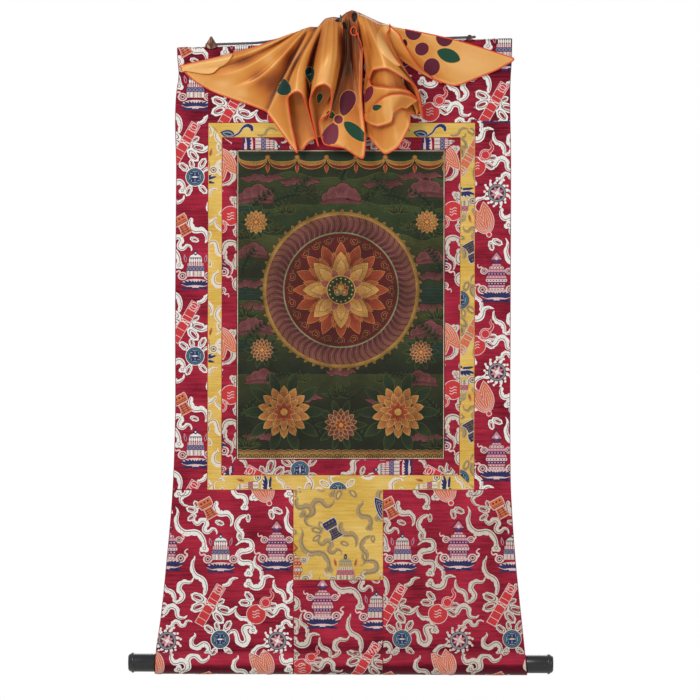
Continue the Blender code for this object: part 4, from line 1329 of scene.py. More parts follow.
def as_triangles(inked):
    """All patches as plan triangles that face the front, with the thread of
    each. The third number of a corner is its height in levels: the patch's
    level, a share of its own, and a slow rise along its rows, so that no
    two threads that cross lie at one height."""
    tris, names = [], []
    for number, (grid, name, level) in enumerate(inked):
        quads = grid_faces(*grid.shape[:2])
        rise = level + 0.45 * (own_share(number) + np.linspace(0, 1, len(grid)))
        pts = np.concatenate([grid, np.broadcast_to(
            rise[:, None, None], (*grid.shape[:2], 1))], -1).reshape(-1, 3)
        both = split_quads(pts, quads)
        tris.append(both)
        names += [name] * len(both)
    return face_front(np.concatenate(tris)), np.array(names)


def doubled_area(tris):
    """Twice the plan area of each triangle, with its sign."""
    a, b, c = tris[:, 0], tris[:, 1], tris[:, 2]
    return ((b[:, 0] - a[:, 0]) * (c[:, 1] - a[:, 1]) - (b[:, 1] - a[:, 1]) * (c[:, 0] - a[:, 0]))


def face_front(tris):
    """Order each triangle so that it faces the front once it hangs."""
    back = doubled_area(tris) > 0
    tris = tris.copy()
    tris[back] = tris[back][:, ::-1]
    return tris


def cut(tris, ids, side):
    """Keep the part of each triangle where side is above zero. A triangle
    with one corner inside is shortened, one with two gives two."""
    d = side(tris[..., 0], tris[..., 1])
    inside = d > 0
    count = inside.sum(1)
    out = [tris[count == 3]]
    out_ids = [ids[count == 3]]
    for number, flags in ((1, inside), (2, ~inside)):
        pick = count == number
        if not pick.any():
            continue
        first = np.argmax(flags[pick], axis=1)
        order = (first[:, None] + np.arange(3)) % 3
        t = np.take_along_axis(tris[pick], order[..., None], 1)
        e = np.take_along_axis(d[pick], order, 1)
        s1 = (e[:, 0] / (e[:, 0] - e[:, 1]))[:, None]
        s2 = (e[:, 0] / (e[:, 0] - e[:, 2]))[:, None]
        ab = t[:, 0] + (t[:, 1] - t[:, 0]) * s1
        ac = t[:, 0] + (t[:, 2] - t[:, 0]) * s2
        if number == 1:
            out.append(np.stack([t[:, 0], ab, ac], 1))
            out_ids.append(ids[pick])
        else:
            out.append(np.stack([ab, t[:, 1], t[:, 2]], 1))
            out.append(np.stack([ab, t[:, 2], ac], 1))
            out_ids += [ids[pick], ids[pick]]
    return np.concatenate(out), np.concatenate(out_ids)


def copies(tris, repeat, box, origin, turn):
    """Copies of the repeat that reach a box of the plan, turned about the
    origin, with the number of the first triangle kept for each."""
    c, s = math.cos(turn), math.sin(turn)
    low, high = tris.min((0, 1))[:2], tris.max((0, 1))[:2]
    corners = np.array([(low[0], low[1]), (high[0], low[1]), (high[0], high[1]), (low[0], high[1])])
    made, ids = [], []
    for i in range(-9, 10):
        for j in range(-9, 10):
            step = np.array([i * repeat[0], j * repeat[1]])
            cx = origin[0] + (corners + step) @ np.array([c, -s])
            cy = origin[1] + (corners + step) @ np.array([s, c])
            if (cx.max() < box[0] or cx.min() > box[2] or cy.max() < box[1] or cy.min() > box[3]):
                continue
            flat = tris[..., :2] + step
            x = origin[0] + flat[..., 0] * c - flat[..., 1] * s
            y = origin[1] + flat[..., 0] * s + flat[..., 1] * c
            near = ((x.max(1) > box[0]) & (x.min(1) < box[2])
                    & (y.max(1) > box[1]) & (y.min(1) < box[3]))
            if near.any():
                made.append(np.stack([x, y, tris[..., 2]], -1)[near])
                ids.append(np.nonzero(near)[0])
    return np.concatenate(made), np.concatenate(ids)


# corners closer than a five hundredth of a unit become one, and triangles
# with less than this doubled area are left out
KEY_STEPS = 500
LEAST_AREA = 1e-5
# heights over the cloth in metres: the lowest thread and each further level
THREAD_START = 0.00004
THREAD_LEVEL = 0.00007


def share_corners(flat, key):
    """One corner for those with the same key, the faces that are left with
    three corners, and which these are."""
    _, first, back = np.unique(key.astype(np.int64), axis=0, return_index=True, return_inverse=True)
    faces = back.reshape(-1, 3)
    good = ((faces[:, 0] != faces[:, 1]) & (faces[:, 1] != faces[:, 2]) & (faces[:, 0] != faces[:, 2]))
    return flat[first], faces[good], good


def woven_piece(name, panel, figures, origin, turn, colours, limits):
    """Lay the figures' repeat on a panel, or on its part inside limits, as
    raised threads, each level 0.07 mm over the one below."""
    sides, box = panel
    tris, names, repeat = figures
    x0, y0, x1, y1 = limits
    box = (max(box[0], x0), max(box[1], y0), min(box[2], x1), min(box[3], y1))
    laid, ids = copies(tris, repeat, box, origin, turn)
    for side in (*sides, lambda x, y: x - x0, lambda x, y: x1 - x,
                 lambda x, y: y - y0, lambda x, y: y1 - y):
        laid, ids = cut(laid, ids, side)
    whole = np.abs(doubled_area(laid)) > LEAST_AREA
    names = np.array([colours.get(n, n) for n in names[ids[whole]]])
    used = sorted(set(names))
    flat = face_front(laid[whole]).reshape(-1, 3)
    flat, faces, good = share_corners(flat, np.round(flat * KEY_STEPS))
    spot = on_mount(flat[:, 0], flat[:, 1], CLOTH / 2 + THREAD_START + THREAD_LEVEL * flat[:, 2])
    index = np.array([used.index(n) for n in names])
    piece = make_piece(name, spot, faces, [THREADS[n] for n in used],
                       look_of_face=index[good], spots=flat[:, :2])


# the painted canvas: a lotus roundel in a landscape

def shade(grid, first, last, axis):
    """Colours for a patch, from one hex colour to another by rows (0) or
    columns (1)."""
    a, b = np.array(linear(first))[:3], np.array(linear(last))[:3]
    count = grid.shape[axis]
    s = np.linspace(0.0, 1.0, count)
    s = s[:, None] if axis == 0 else s[None, :]
    s = np.broadcast_to(s, grid.shape[:2])[..., None]
    return a + (b - a) * s


def painted(patches, layer, first, last=None, axis=0):
    """Give figure patches their colours and the layer of paint."""
    last = last or first
    return [(grid, shade(grid, first, last, axis), layer) for grid, *_ in patches]


def fine_line(path, width, colour, layer):
    """A brush line of even width along a path."""
    return painted(thin_line(path, width / 2, "", 0), layer, colour)


def dab(x, y, radius, layer, first, last=None, **form):
    """A round of paint, or a ring, from its middle colour to its rim's."""
    return painted(disc(x, y, radius, "", 0, **form), layer, first, last)


def arc_path(x, y, radius, start, stop, steps):
    """Part of a circle, angles in radians from the top."""
    a = np.linspace(start, stop, steps)
    return np.column_stack([x + radius * np.sin(a), y - radius * np.cos(a)])


def leaf(x, y, length, width, turn, dark, light, layer, edge):
    """Painted leaf or petal: light rim, shaded body and a fine rib."""
    made = painted(petal(x, y, length, width, turn, "", 0), layer, edge)
    inset = 0.45
    made += painted(petal(*around(x, y, inset, turn), length - 2.2 * inset, width - 2.0 * inset, turn,
                          "", 0), layer + 1, dark, light)
    t = np.linspace(0.1, 0.8, 6)[:, None]
    rib = (np.array([x, y]) + t * length * np.array([math.sin(turn), -math.cos(turn)]))
    return made + fine_line(rib, 0.28, dark, layer + 2)


def ring_of(count, x, y, radius, length, width, dark, light, layer, edge, offset=0.0):
    """Petals set evenly round a circle."""
    made = []
    for k in range(count):
        turn = (k + offset) * 2 * math.pi / count
        made += leaf(*around(x, y, radius, turn), length, width, turn, dark, light, layer, edge)
    return made


def bloom(x, y, size, warm):
    """Round many-petalled flower with leaves behind it."""
    made = []
    layer = 14
    for k in range(10):
        turn = k * math.pi / 5 + 0.31
        made += leaf(*around(x, y, 0.7 * size, turn), size * 0.85, size * 0.40, turn, "#16241A",
                     "#33482C", layer, "#56683C")
    light = "#C99C58" if warm else "#9A5C5C"
    dark = "#A04E34" if warm else "#6A3040"
    made += ring_of(14, x, y, size * 0.52, size * 0.46, size * 0.30, dark, light, layer + 3, "#D8B478")
    made += ring_of(11, x, y, size * 0.28, size * 0.42, size * 0.26, dark,
                    light, layer + 5, "#D8B478", 0.5)
    made += ring_of(8, x, y, size * 0.08, size * 0.34, size * 0.22, "#8C2E28",
                    "#C4643C", layer + 7, "#D8B478")
    return made + dab(x, y, size * 0.13, layer + 9, "#D8B060", cells=16)


def ridge(y, height, waves, low, light, dark, layer, edge):
    """A hill or a stretch of water: its upper line is a sum of two sines,
    and it is shaded from that line down."""
    x = np.linspace(235.0, 447.0, 90)
    top = y + height * (np.sin(x / waves[0] + waves[2]) + 0.5 * np.sin(x / waves[1] + 1.7 * waves[2]))
    v = np.linspace(0.0, 1.0, 12)[:, None]
    grid = np.stack([x + 0 * v, top * (1 - v) + low * v], -1)
    made = [(grid, shade(grid, light, dark, 0), layer)]
    line = np.column_stack([x, top])
    made += fine_line(line, 0.5, edge, layer + 1)
    for k in range(1, 5):
        made += fine_line(line + [0.0, 1.6 * k], 0.22, edge, layer + 1)
    return made


def cloud_bank(x, y, width, height, way):
    """Mauve cloud: round lobes over a flat foot, each with a curl line."""
    made = []
    layer = 7
    rows = ((-0.42, 0.10, 0.24), (-0.20, -0.14, 0.34), (0.06, -0.30, 0.40),
            (0.30, -0.10, 0.32), (0.46, 0.12, 0.20))
    lobes = [(x + way * dx * width, y + dy * height, r * height * 1.3) for dx, dy, r in rows]
    for cx, cy, rr in lobes:
        made += dab(cx, cy, rr + 0.5, layer, "#3C1C26")
        made += dab(cx, cy, rr, layer + 1, "#6E3E4A", "#8A5460")
    for cx, cy, rr in lobes:
        made += fine_line(arc_path(cx, cy, rr * 0.72, -1.2, 1.5, 20), 0.32, "#4A222E", layer + 2)
        made += fine_line(arc_path(cx, cy, rr * 0.42, -1.8, 1.2, 16), 0.28, "#4A222E", layer + 2)
    t = np.linspace(-0.62, 0.62, 20)
    foot = np.column_stack([x + t * width, y + 0.36 * height - 1.2 * np.cos(t * 4)])
    half = 0.17 * height * np.sqrt(1 - (t / 0.63) ** 2)
    made += painted([(strip(foot, -half, half),)], layer + 1, "#5E323E",
                    "#7C4854", 1)
    return made


def jewel(x, y, size, layer):
    """Three round jewels in a leaf-shaped flame."""
    made = []
    for k, colour in ((-2, "#8C3426"), (-1, "#B0583A"), (0, "#C8925A"), (1, "#B0583A"), (2, "#8C3426")):
        made += leaf(x + k * size * 0.22, y + size * 0.3, size * (1.5 - 0.28 * abs(k)), size * 0.5,
                     k * 0.26, "#7A2A20", colour, layer, "#D8B060")
    for dx, dy, colour in ((-0.42, 0.30, "#2E5450"), (0.42, 0.30, "#8A2E34"), (0.0, -0.26, "#C8A058")):
        made += dab(x + dx * size, y + dy * size, size * 0.42, layer + 3, "#D8B060")
        made += dab(x + dx * size, y + dy * size, size * 0.35, layer + 4, "#E8D090", colour)
    return made


def roundel(x, y):
    """Lotus roundel: flame rim, gold line, ribbed mauve ring, dark ring with
    scrolls, and three rings of petals round a jewel."""
    made = []
    for k in range(56):
        turn = k * 2 * math.pi / 56
        made += leaf(*around(x, y, 76, turn), 6.2, 4.6, turn + 0.35, "#6A4E28", "#A8884C", 9, "#2A2A18")
    made += dab(x, y, 78.4, 12, "#C09A54", "#8A7440", inner=0.955, cells=120)
    made += dab(x, y, 75.2, 12, "#5A2A3C", "#8A5C54", inner=0.76, cells=120, rows=7)
    for k in range(132):
        turn = k * 2 * math.pi / 132
        t = np.linspace(0.0, 1.0, 7)[:, None]
        bend = turn + 0.05 * np.sin(t * math.pi)
        rad = 58.0 + 16.6 * t
        path = np.column_stack([x + rad * np.sin(bend), y - rad * np.cos(bend)])
        made += fine_line(path, 0.75, "#4A1A2C" if k % 2 else "#96605C", 13)
    made += dab(x, y, 58.0, 14, "#8C9A78", inner=0.975, cells=96)
    made += dab(x, y, 56.6, 12, "#4E1218", "#641C20", cells=96, rows=19)
    for k in range(24):
        turn = k * 2 * math.pi / 24
        cx, cy = around(x, y, 50.6, turn)
        path = arc_path(cx, cy, 3.6, turn + 0.4, turn + 5.4, 22)
        made += fine_line(path, 0.42, "#A87C40", 14)
        path = arc_path(cx, cy, 1.7, turn + 2.2, turn + 7.2, 16)
        made += fine_line(path, 0.36, "#C09A54", 14)
        made += leaf(cx + 3.4 * math.cos(turn), cy + 3.4 * math.sin(turn), 4.0, 1.9, turn + 1.2,
                     "#26341F", "#4C5A34", 14, "#6A7444")
    made += ring_of(16, x, y, 24.0, 24.0, 12.0, "#7E2A20", "#B4583A", 16, "#D0A460")
    made += ring_of(16, x, y, 22.0, 17.0, 7.5, "#8C3426", "#C87A50", 19, "#B8803C", 0.5)
    made += ring_of(8, x, y, 11.0, 28.0, 17.0, "#A86E34", "#D8B070", 22, "#5A3018")
    made += ring_of(8, x, y, 12.0, 19.0, 10.5, "#B07838", "#E0BE80", 25, "#7A4420")
    made += ring_of(8, x, y, 10.5, 13.0, 8.0, "#7A3040", "#B4746C", 28, "#D8B070", 0.5)
    made += dab(x, y, 14.6, 31, "#D0A85C", cells=48)
    made += dab(x, y, 13.6, 32, "#1E3024", "#30442C", cells=48)
    for k in range(16):
        made += dab(*around(x, y, 11.6, k * math.pi / 8), 0.8, 33, "#D8C088", cells=8)
    return made + jewel(x, y, 8.0, 33)


def foliage(x, y, size, seed):
    """Dark bush: long leaves that fan out from a point."""
    made = []
    count = 13
    for k in range(count):
        lean = (k / (count - 1) - 0.5) * 2.6
        long = size * (0.8 + 0.25 * math.sin(k * 2.3 + seed))
        made += leaf(x + 0.18 * size * math.sin(lean), y, long, size * 0.20, lean, "#131E14", "#3A4826",
                     10 + (k % 2) * 2, "#5E6A38")
    return made


def branch(x, y, turn, length):
    """A bowed stem with six pairs of leaves, each outlined in black."""
    s = np.linspace(0.0, 1.0, 14)
    lean = turn + 0.7 * s * (1 if math.sin(turn) > 0 else -1)
    step = length / 13
    stem = np.column_stack([x + step * np.cumsum(np.sin(lean)), y - step * np.cumsum(np.cos(lean))])
    layer = 10
    made = fine_line(stem, 0.7, "#161E12", layer)
    for k in range(2, 14, 2):
        for side in (-1, 1):
            made += leaf(*stem[k], 7.4 - 0.22 * k, 3.5 - 0.08 * k, lean[k] + side * 0.85, "#1A3222",
                         "#46603A" if (k + side) % 4 else "#5A6A34", layer + 1, "#0E150D")
    return made


def long_cloud(x, y, length, layer):
    """A long flat bank of mauve cloud with three brush lines in it."""
    t = np.linspace(-1.0, 1.0, 40)
    path = np.column_stack([x + t * length / 2, y + 1.1 * np.sin(t * 7.0)])
    half = 3.2 * (1 - t ** 4) * (1 + 0.22 * np.cos(t * 19))
    made = painted([(strip(path, -half - 0.5, half + 0.5),)], layer,
                   "#341A22")
    made += painted([(strip(path, -half, half),)], layer + 1, "#6C3C48",
                    "#885260", 1)
    for k in (-1, 0, 1):
        made += fine_line(path[4:-4] + [0.0, 1.5 * k], 0.3, "#4A2430", layer + 2)
    return made


def water(y0, y1, x0, x1, layer):
    """Teal water with fine level wave lines."""
    x = np.linspace(x0, x1, 24)
    v = np.linspace(0.0, 1.0, 5)[:, None]
    grid = np.stack([x + 0 * v, y0 + (y1 - y0) * v + 0 * x], -1)
    made = [(grid, shade(grid, "#1E3A36", "#18302C", 0), layer)]
    for k in range(int((y1 - y0) / 1.7)):
        y = y0 + 0.9 + 1.7 * k
        xs = np.linspace(x0, x1, 60)
        path = np.column_stack([xs, y + 0.35 * np.sin(xs / 2.4 + k * 1.9)])
        made += fine_line(path, 0.34, "#3E5E50" if k % 2 else "#2C4A42", layer + 1)
    return made


def canopy(y, layer):
    """Swags of red and gold cloth with drops between them."""
    made = []
    for k in range(7):
        x = 253.0 + k * 29.4
        for j, (light, dark) in enumerate((("#8C2A2A", "#5E1A20"), ("#B8924C", "#7A5C2C"),
                                           ("#2E4A3C", "#1C2E26"))):
            a = np.linspace(0.0, math.pi, 20)
            deep = 13.0 - 3.6 * j
            path = np.column_stack([x - 14.6 * np.cos(a), y + deep * np.sin(a) ** 0.8])
            s = np.linspace(0.0, 1.0, 4)[None, :, None]
            top = np.column_stack([path[:, 0], np.full(20, y - 2.0)])
            grid = top[:, None] * (1 - s) + path[:, None] * s
            made.append((grid, shade(grid, dark, light, 1), layer + 2 * j))
            made += fine_line(path, 0.6, "#D0A85C", layer + 2 * j + 1)
        made += leaf(x + 14.7, y + 8.0, -9.0, 4.0, 0.0, "#8C2A2A", "#C4643C", layer + 7, "#D8B060")
        made += dab(x + 14.7, y + 1.4, 2.6, layer + 8, "#D8B060", "#A06A34", cells=16)
    return made


def paint_design():
    """All of the design in plan units, from the back forwards."""
    made = []
    x = np.linspace(235.0, 447.0, 54)
    v = np.linspace(0.0, 1.0, 78)[:, None]
    grid = np.stack([x + 0 * v, 149.0 + 312.0 * v + 0 * x], -1)
    made.append((grid, shade(grid, "#2C3822", "#222C1A", 0), 0))
    rows = ((176.0, 3.0, (17.0, 7.0, 0.4), "#3A4A2A", "#222E1C"),
            (204.0, 4.0, (23.0, 9.0, 2.1), "#38502F", "#202C1C"),
            (236.0, 3.4, (19.0, 6.0, 4.0), "#46502A", "#262E1A"),
            (268.0, 4.4, (26.0, 8.0, 1.2), "#34482C", "#1E2A1A"),
            (300.0, 3.8, (18.0, 7.5, 5.2), "#444C28", "#242C18"),
            (332.0, 4.0, (24.0, 8.5, 3.1), "#3C4A2C", "#202A1A"),
            (366.0, 3.6, (20.0, 6.5, 0.9), "#44502C", "#222A18"))
    for i, (y, height, waves, light, dark) in enumerate(rows):
        made += ridge(y, height, waves, y + 42.0, light, dark, 1 + i % 3, "#5A6838")
    for y0, y1, x0, x1 in ((282, 300, 236, 266), (286, 304, 418, 446), (340, 352, 236, 274),
                           (344, 358, 410, 446), (206, 212, 236, 262), (212, 218, 420, 446)):
        made += water(y0, y1, x0, x1, 5)
    for row in ((256, 196, 34, 15, 1), (427, 190, 34, 15, -1),
                (252, 252, 26, 12, 1), (431, 258, 26, 12, -1),
                (254, 328, 32, 14, -1), (428, 332, 32, 14, 1),
                (341, 196, 34, 16, 1), (262, 378, 30, 12, 1),
                (420, 380, 30, 12, -1)):
        made += cloud_bank(*row)
    for row in ((247, 240, 15, 0.2), (436, 236, 15, 1.4), (246, 318, 16, 2.2),
                (437, 320, 16, 0.7), (286, 214, 13, 3.3), (398, 214, 13, 5.0),
                (272, 232, 12, 1.1), (411, 230, 12, 2.9), (300, 382, 12, 0.4),
                (384, 383, 12, 3.9), (341, 398, 17, 1.9), (246, 448, 15, 0.1),
                (437, 448, 15, 2.2), (312, 196, 11, 1.0),
                (370, 196, 11, 2.0)):
        made += foliage(*row)
    for x, y, length in ((262, 178, 44), (420, 176, 46), (300, 182, 40),
                         (383, 184, 42), (250, 284, 30), (433, 276, 30),
                         (256, 306, 34), (428, 308, 34), (300, 398, 46),
                         (388, 400, 46), (341, 372, 30), (262, 436, 40),
                         (424, 438, 40)):
        made += long_cloud(x, y, length, 7)
    for x, y, turn, length in (
            (248, 214, 0.5, 34), (436, 214, -0.5, 34), (268, 206, 0.9, 32),
            (414, 206, -0.9, 32), (292, 200, 0.3, 26), (390, 200, -0.3, 26),
            (242, 276, 0.1, 28), (441, 276, -0.1, 28), (244, 346, 0.4, 30),
            (439, 346, -0.4, 30), (262, 384, 0.9, 28), (420, 384, -0.9, 28),
            (318, 204, -0.4, 24), (364, 204, 0.4, 24), (242, 424, 0.2, 30),
            (441, 424, -0.2, 30), (318, 440, 0.5, 26), (364, 440, -0.5, 26),
            (326, 400, 0.8, 22), (356, 400, -0.8, 22), (341, 184, 0.1, 20)):
        made += branch(x, y, turn, length)
    made += canopy(156.0, 16)
    made += roundel(341.0, 290.0)
    for row in ((284, 412, 27, True), (398, 412, 27, True), (256, 222, 12, True), (427, 222, 12, True),
                (262, 350, 12, False), (421, 352, 12, False), (341, 425, 17, False)):
        made += bloom(*row)
    for k in range(26):
        cx = 240.0 + k * 8.1
        for j, colour in enumerate(("#6E3E4A", "#A87C40", "#26443E", "#8A3A2C")):
            radius = 8.2 - 1.9 * j
            made += dab(cx, 458.0, radius, 26 + j, colour, cells=24)
            made += fine_line(arc_path(cx, 458.0, radius, -1.57, 1.57, 20), 0.4, "#C8A868", 31)
    return made


def edge_line():
    """The pale bare edge of the canvas, 1.7 mm wide, along all four sides."""
    corners = [np.array(p, float) for p in PAINTING]
    made = []
    for k in range(4):
        a, b = corners[k], corners[(k + 1) % 4]
        path = a + (b - a) * np.linspace(0.0, 1.0, 60)[:, None]
        made += fine_line(path, 2.3, "#FFFFFF", 60)
    return made


def mineral_paint():
    """Distemper on sized cotton, aged: chalky pigments with a glue binder,
    matt, dulled by a grey-brown film and rubbed along the weave."""
    look, tree, shader = new_look("mineral_distemper", Roughness=0.72, Specular_IOR_Level=0.3)
    colour = put(tree, "Attribute", attribute_name="paint")
    film = put(tree, "TexNoise",
               {"Vector": cloth_place(tree, 40.0, 40.0), "Scale": 1.0, "Detail": 5.0, "Roughness": 0.65})
    weave = put(tree, "TexNoise", {"Vector": cloth_place(tree, 1.6, 1.6), "Scale": 1.0, "Detail": 2.0})
    worn = put(tree, "Math", {0: weave.outputs["Fac"], 1: 0.8, 2: film.outputs["Fac"]},
               operation="MULTIPLY_ADD")
    film_tone = put(tree, "ValToRGB", {"Fac": worn.outputs[0]},
                    ((0.62, "#8C7C64"), (0.90, "#D2C2A4"), (1.0, "#EADCC4")))
    mixed = put(tree, "Mix", {"Factor": 1.0}, data_type="RGBA", blend_type="MULTIPLY")
    tree.links.new(colour.outputs["Color"], mixed.inputs[6])
    tree.links.new(film_tone.outputs["Color"], mixed.inputs[7])
    tree.links.new(mixed.outputs[2], shader.inputs["Base Color"])
    relief = put(tree, "Bump", {"Strength": 0.2, "Distance": 0.0002, "Height": weave.outputs["Fac"]})
    tree.links.new(relief.outputs["Normal"], shader.inputs["Normal"])
    return look


# tones closer than this share become one. Heights over the canvas in
# metres: the lowest paint and each further layer
TONE_STEPS = 2000
PAINT_START = 0.00006
PAINT_LAYER = 0.00002


def add_painting():
    """Lay the painted design on the canvas, each layer of paint 0.02 mm
    over the one below, and each stroke at a height of its own in it."""
    blocks = []
    for number, (grid, colour, layer) in enumerate(paint_design() + edge_line()):
        rise = np.full((grid[..., 0].size, 1), layer + 0.8 * own_share(number))
        rows = np.hstack([grid.reshape(-1, 2), colour.reshape(-1, 3), rise])
        blocks.append(split_quads(rows, grid_faces(*grid.shape[:2])))
    tris = np.concatenate(blocks)
    ids = np.zeros(len(tris), int)
    for side in PANELS["painting"][0]:
        tris, ids = cut(tris, ids, side)
    flat = face_front(tris[np.abs(doubled_area(tris)) > LEAST_AREA]).reshape(-1, 6)
    steps = np.array([KEY_STEPS, KEY_STEPS, TONE_STEPS, TONE_STEPS, TONE_STEPS, KEY_STEPS])
    flat, faces, _ = share_corners(flat, np.round(flat * steps))
    spot = on_mount(flat[:, 0], flat[:, 1], CLOTH / 2 + PAINT_START + PAINT_LAYER * flat[:, 5])
    piece = make_piece("painted_lotus_design", spot, faces, [mineral_paint()], spots=flat[:, :2])
    layer = piece.data.attributes.new("paint", "FLOAT_COLOR", "POINT")
    rgba = np.column_stack([flat[:, 2:5], np.ones(len(flat))])
    layer.data.foreach_set("color", rgba.astype(np.float32).ravel())


# the veil

# upper outline of the veil, across and down
VEIL_HEAD = ((298, 32.5), (302, 29.5), (310, 26.8), (318, 27.0),
             (325, 18.6), (332, 16.8), (340, 17.6), (346, 12.6),
             (352, 10.0), (358, 12.0), (365, 15.3), (380, 22.2),
             (397, 27.7))
# one row a fold line: where it crosses the head, then its middle point and
# its point on the hem, each as across, down and forward
VEIL_FOLDS = (
    (300.0, (247, 49.6, 3.8), (179.2, 66.2, 2.6)),
    (301.5, (245, 54.5, 7.6), (180.5, 67.6, 3.2)),
    (303.0, (240, 62.0, 3.6), (184.0, 71.5, 2.7)),
    (304.5, (245, 69.0, 7.0), (196.0, 81.8, 3.2)),
    (306.0, (255, 76.0, 6.4), (213.0, 91.6, 3.0)),
    (307.5, (266, 74.0, 9.2), (233.0, 99.2, 3.6)),
    (309.0, (277, 80.0, 4.6), (252.0, 105.6, 2.8)),
    (310.2, (281, 86.0, 5.0), (265.6, 111.0, 3.4)),
    (311.6, (277, 92.0, 12.0), (268.0, 113.4, 9.0)),
    (313.2, (280, 94.0, 14.0), (282.0, 133.0, 12.0)),
    (314.8, (283, 95.0, 16.5), (297.3, 153.0, 14.0)),
    (316.2, (286, 93.0, 20.0), (291.5, 126.0, 19.0)),
    (317.8, (291, 78.0, 24.0), (288.0, 99.0, 26.0)),
    (319.6, (300, 66.0, 27.5), (296.5, 92.2, 31.0)),
    (321.6, (306, 68.0, 26.0), (303.8, 98.0, 28.0)),
    (323.6, (310, 80.0, 17.0), (318.5, 146.8, 16.0)),
    (326.0, (315, 66.0, 28.0), (309.6, 104.0, 30.0)),
    (329.0, (322, 58.0, 35.5), (315.5, 88.6, 37.5)),
    (333.0, (331, 55.0, 37.5), (324.5, 85.2, 40.0)),
    (337.0, (337, 57.0, 33.0), (331.2, 91.0, 36.0)),
    (340.0, (340, 62.0, 21.0), (330.4, 112.0, 28.0)),
    (342.2, (342, 62.0, 11.0), (319.5, 122.0, 23.0)),
    (344.0, (344.5, 60.0, 6.0), (324.0, 144.0, 19.0)),
    (346.6, (349.5, 58.0, 4.0), (344.0, 148.4, 22.5)),
    (349.2, (353, 68.0, 6.4), (362.6, 158.8, 20.0)),
    (351.6, (356.4, 74.0, 8.6), (365.2, 138.0, 17.0)),
    (354.2, (359.6, 58.0, 8.0), (361.6, 98.0, 12.4)),
    (356.4, (361.8, 34.0, 8.0), (363.0, 47.0, 8.4)),
    (358.4, (364.5, 54.0, 15.0), (368.4, 79.0, 24.0)),
    (361.4, (371, 50.0, 25.0), (373.0, 71.0, 33.0)),
    (365.4, (379, 49.0, 33.0), (386.5, 69.4, 40.0)),
    (370.0, (387, 53.0, 30.0), (403.0, 78.6, 37.0)),
    (374.4, (393, 60.0, 24.0), (416.5, 89.0, 29.0)),
    (378.2, (397, 66.0, 18.0), (422.6, 118.6, 14.0)),
    (381.4, (396, 58.0, 14.0), (419.6, 95.0, 12.0)),
    (384.2, (391, 47.0, 10.5), (404.0, 68.0, 9.0)),
    (386.8, (391, 42.0, 7.4), (398.5, 58.0, 6.0)),
    (388.8, (402, 50.0, 7.2), (422.0, 73.6, 3.4)),
    (390.6, (414, 52.0, 8.6), (453.6, 85.6, 3.0)),
    (392.4, (426, 50.0, 6.6), (475.0, 78.6, 3.2)),
    (394.0, (440, 46.5, 5.0), (495.0, 70.6, 2.8)),
    (395.4, (452, 43.2, 4.2), (512.6, 61.0, 2.7)),
    (396.8, (455, 40.2, 3.6), (513.4, 58.2, 2.6)),
)
# each line's points behind the head, as drop and forward, and its points
# on the head, as share of the way to the middle point and forward
VEIL_BEHIND = ((9.5, -6.6), (3.6, -6.4), (0.0, -2.3))
VEIL_LEAN = ((0.045, 2.2), (0.12, 7.8))
# linings inside the right roll and in the mouth of the veil: upper point
# across and down, then middle and lower points across, down and forward
ROLL_LINING = (
    ((366.8, 66.0), (363.0, 98.0, 7.0), (364.6, 130.0, 9.0)),
    ((371.0, 58.0), (370.5, 96.0, 17.0), (375.5, 145.0, 19.0)),
    ((376.0, 54.0), (380.5, 96.0, 27.0), (385.2, 154.2, 24.0)),
    ((382.0, 55.0), (389.0, 97.0, 31.0), (398.0, 147.0, 29.0)),
    ((388.0, 60.0), (398.0, 97.0, 27.0), (408.8, 127.0, 26.0)),
    ((393.0, 66.0), (405.0, 96.0, 20.0), (410.5, 114.0, 19.0)),
    ((397.0, 72.0), (411.0, 98.0, 15.0), (419.4, 117.0, 11.0)),
)
MOUTH_LINING = (
    ((284.0, 88.0), (286.0, 101.0, 9.0), (288.0, 114.0, 7.0)),
    ((292.0, 80.0), (295.0, 108.0, 10.0), (300.0, 149.6, 8.0)),
    ((302.0, 78.0), (304.5, 106.0, 12.0), (308.5, 142.0, 11.0)),
    ((312.0, 74.0), (314.5, 102.0, 14.0), (316.0, 138.0, 13.0)),
    ((323.0, 72.0), (324.0, 96.0, 18.0), (324.0, 128.0, 15.0)),
    ((334.0, 74.0), (331.5, 94.0, 21.0), (330.0, 114.0, 19.0)),
)


def head_height(across):
    """Silhouette of the veil's gathered head."""
    return np.interp(across, [p[0] for p in VEIL_HEAD], [p[1] for p in VEIL_HEAD])


def spread_across(rows, steps):
    """Smooth surface over fold lines: cubic between lines, with 0.6 of the
    mean slope at each line."""
    n = len(rows)
    at = np.linspace(0.0, n - 1.0, (n - 1) * steps + 1)
    i = np.minimum(at.astype(int), n - 2)
    t = (at - i)[:, None, None]
    a = rows[i]
    b = rows[i + 1]
    ta = (b - rows[np.maximum(i - 1, 0)]) / 2 * 0.6
    tb = (rows[np.minimum(i + 2, n - 1)] - a) / 2 * 0.6
    return (a * (2 * t ** 3 - 3 * t ** 2 + 1) + ta * (t ** 3 - 2 * t ** 2 + t)
            + b * (3 * t ** 2 - 2 * t ** 3) + tb * (t ** 3 - t ** 2))


def surface_normals(grid):
    """Unit normals of a grid surface from its two directions."""
    a = np.gradient(grid, axis=0)
    b = np.gradient(grid, axis=1)
    n = np.cross(a, b)
    return n / np.maximum(np.linalg.norm(n, axis=-1, keepdims=True), 1e-12)


HEM_RADIUS = 0.0011
HALF_STITCH = 0.0009


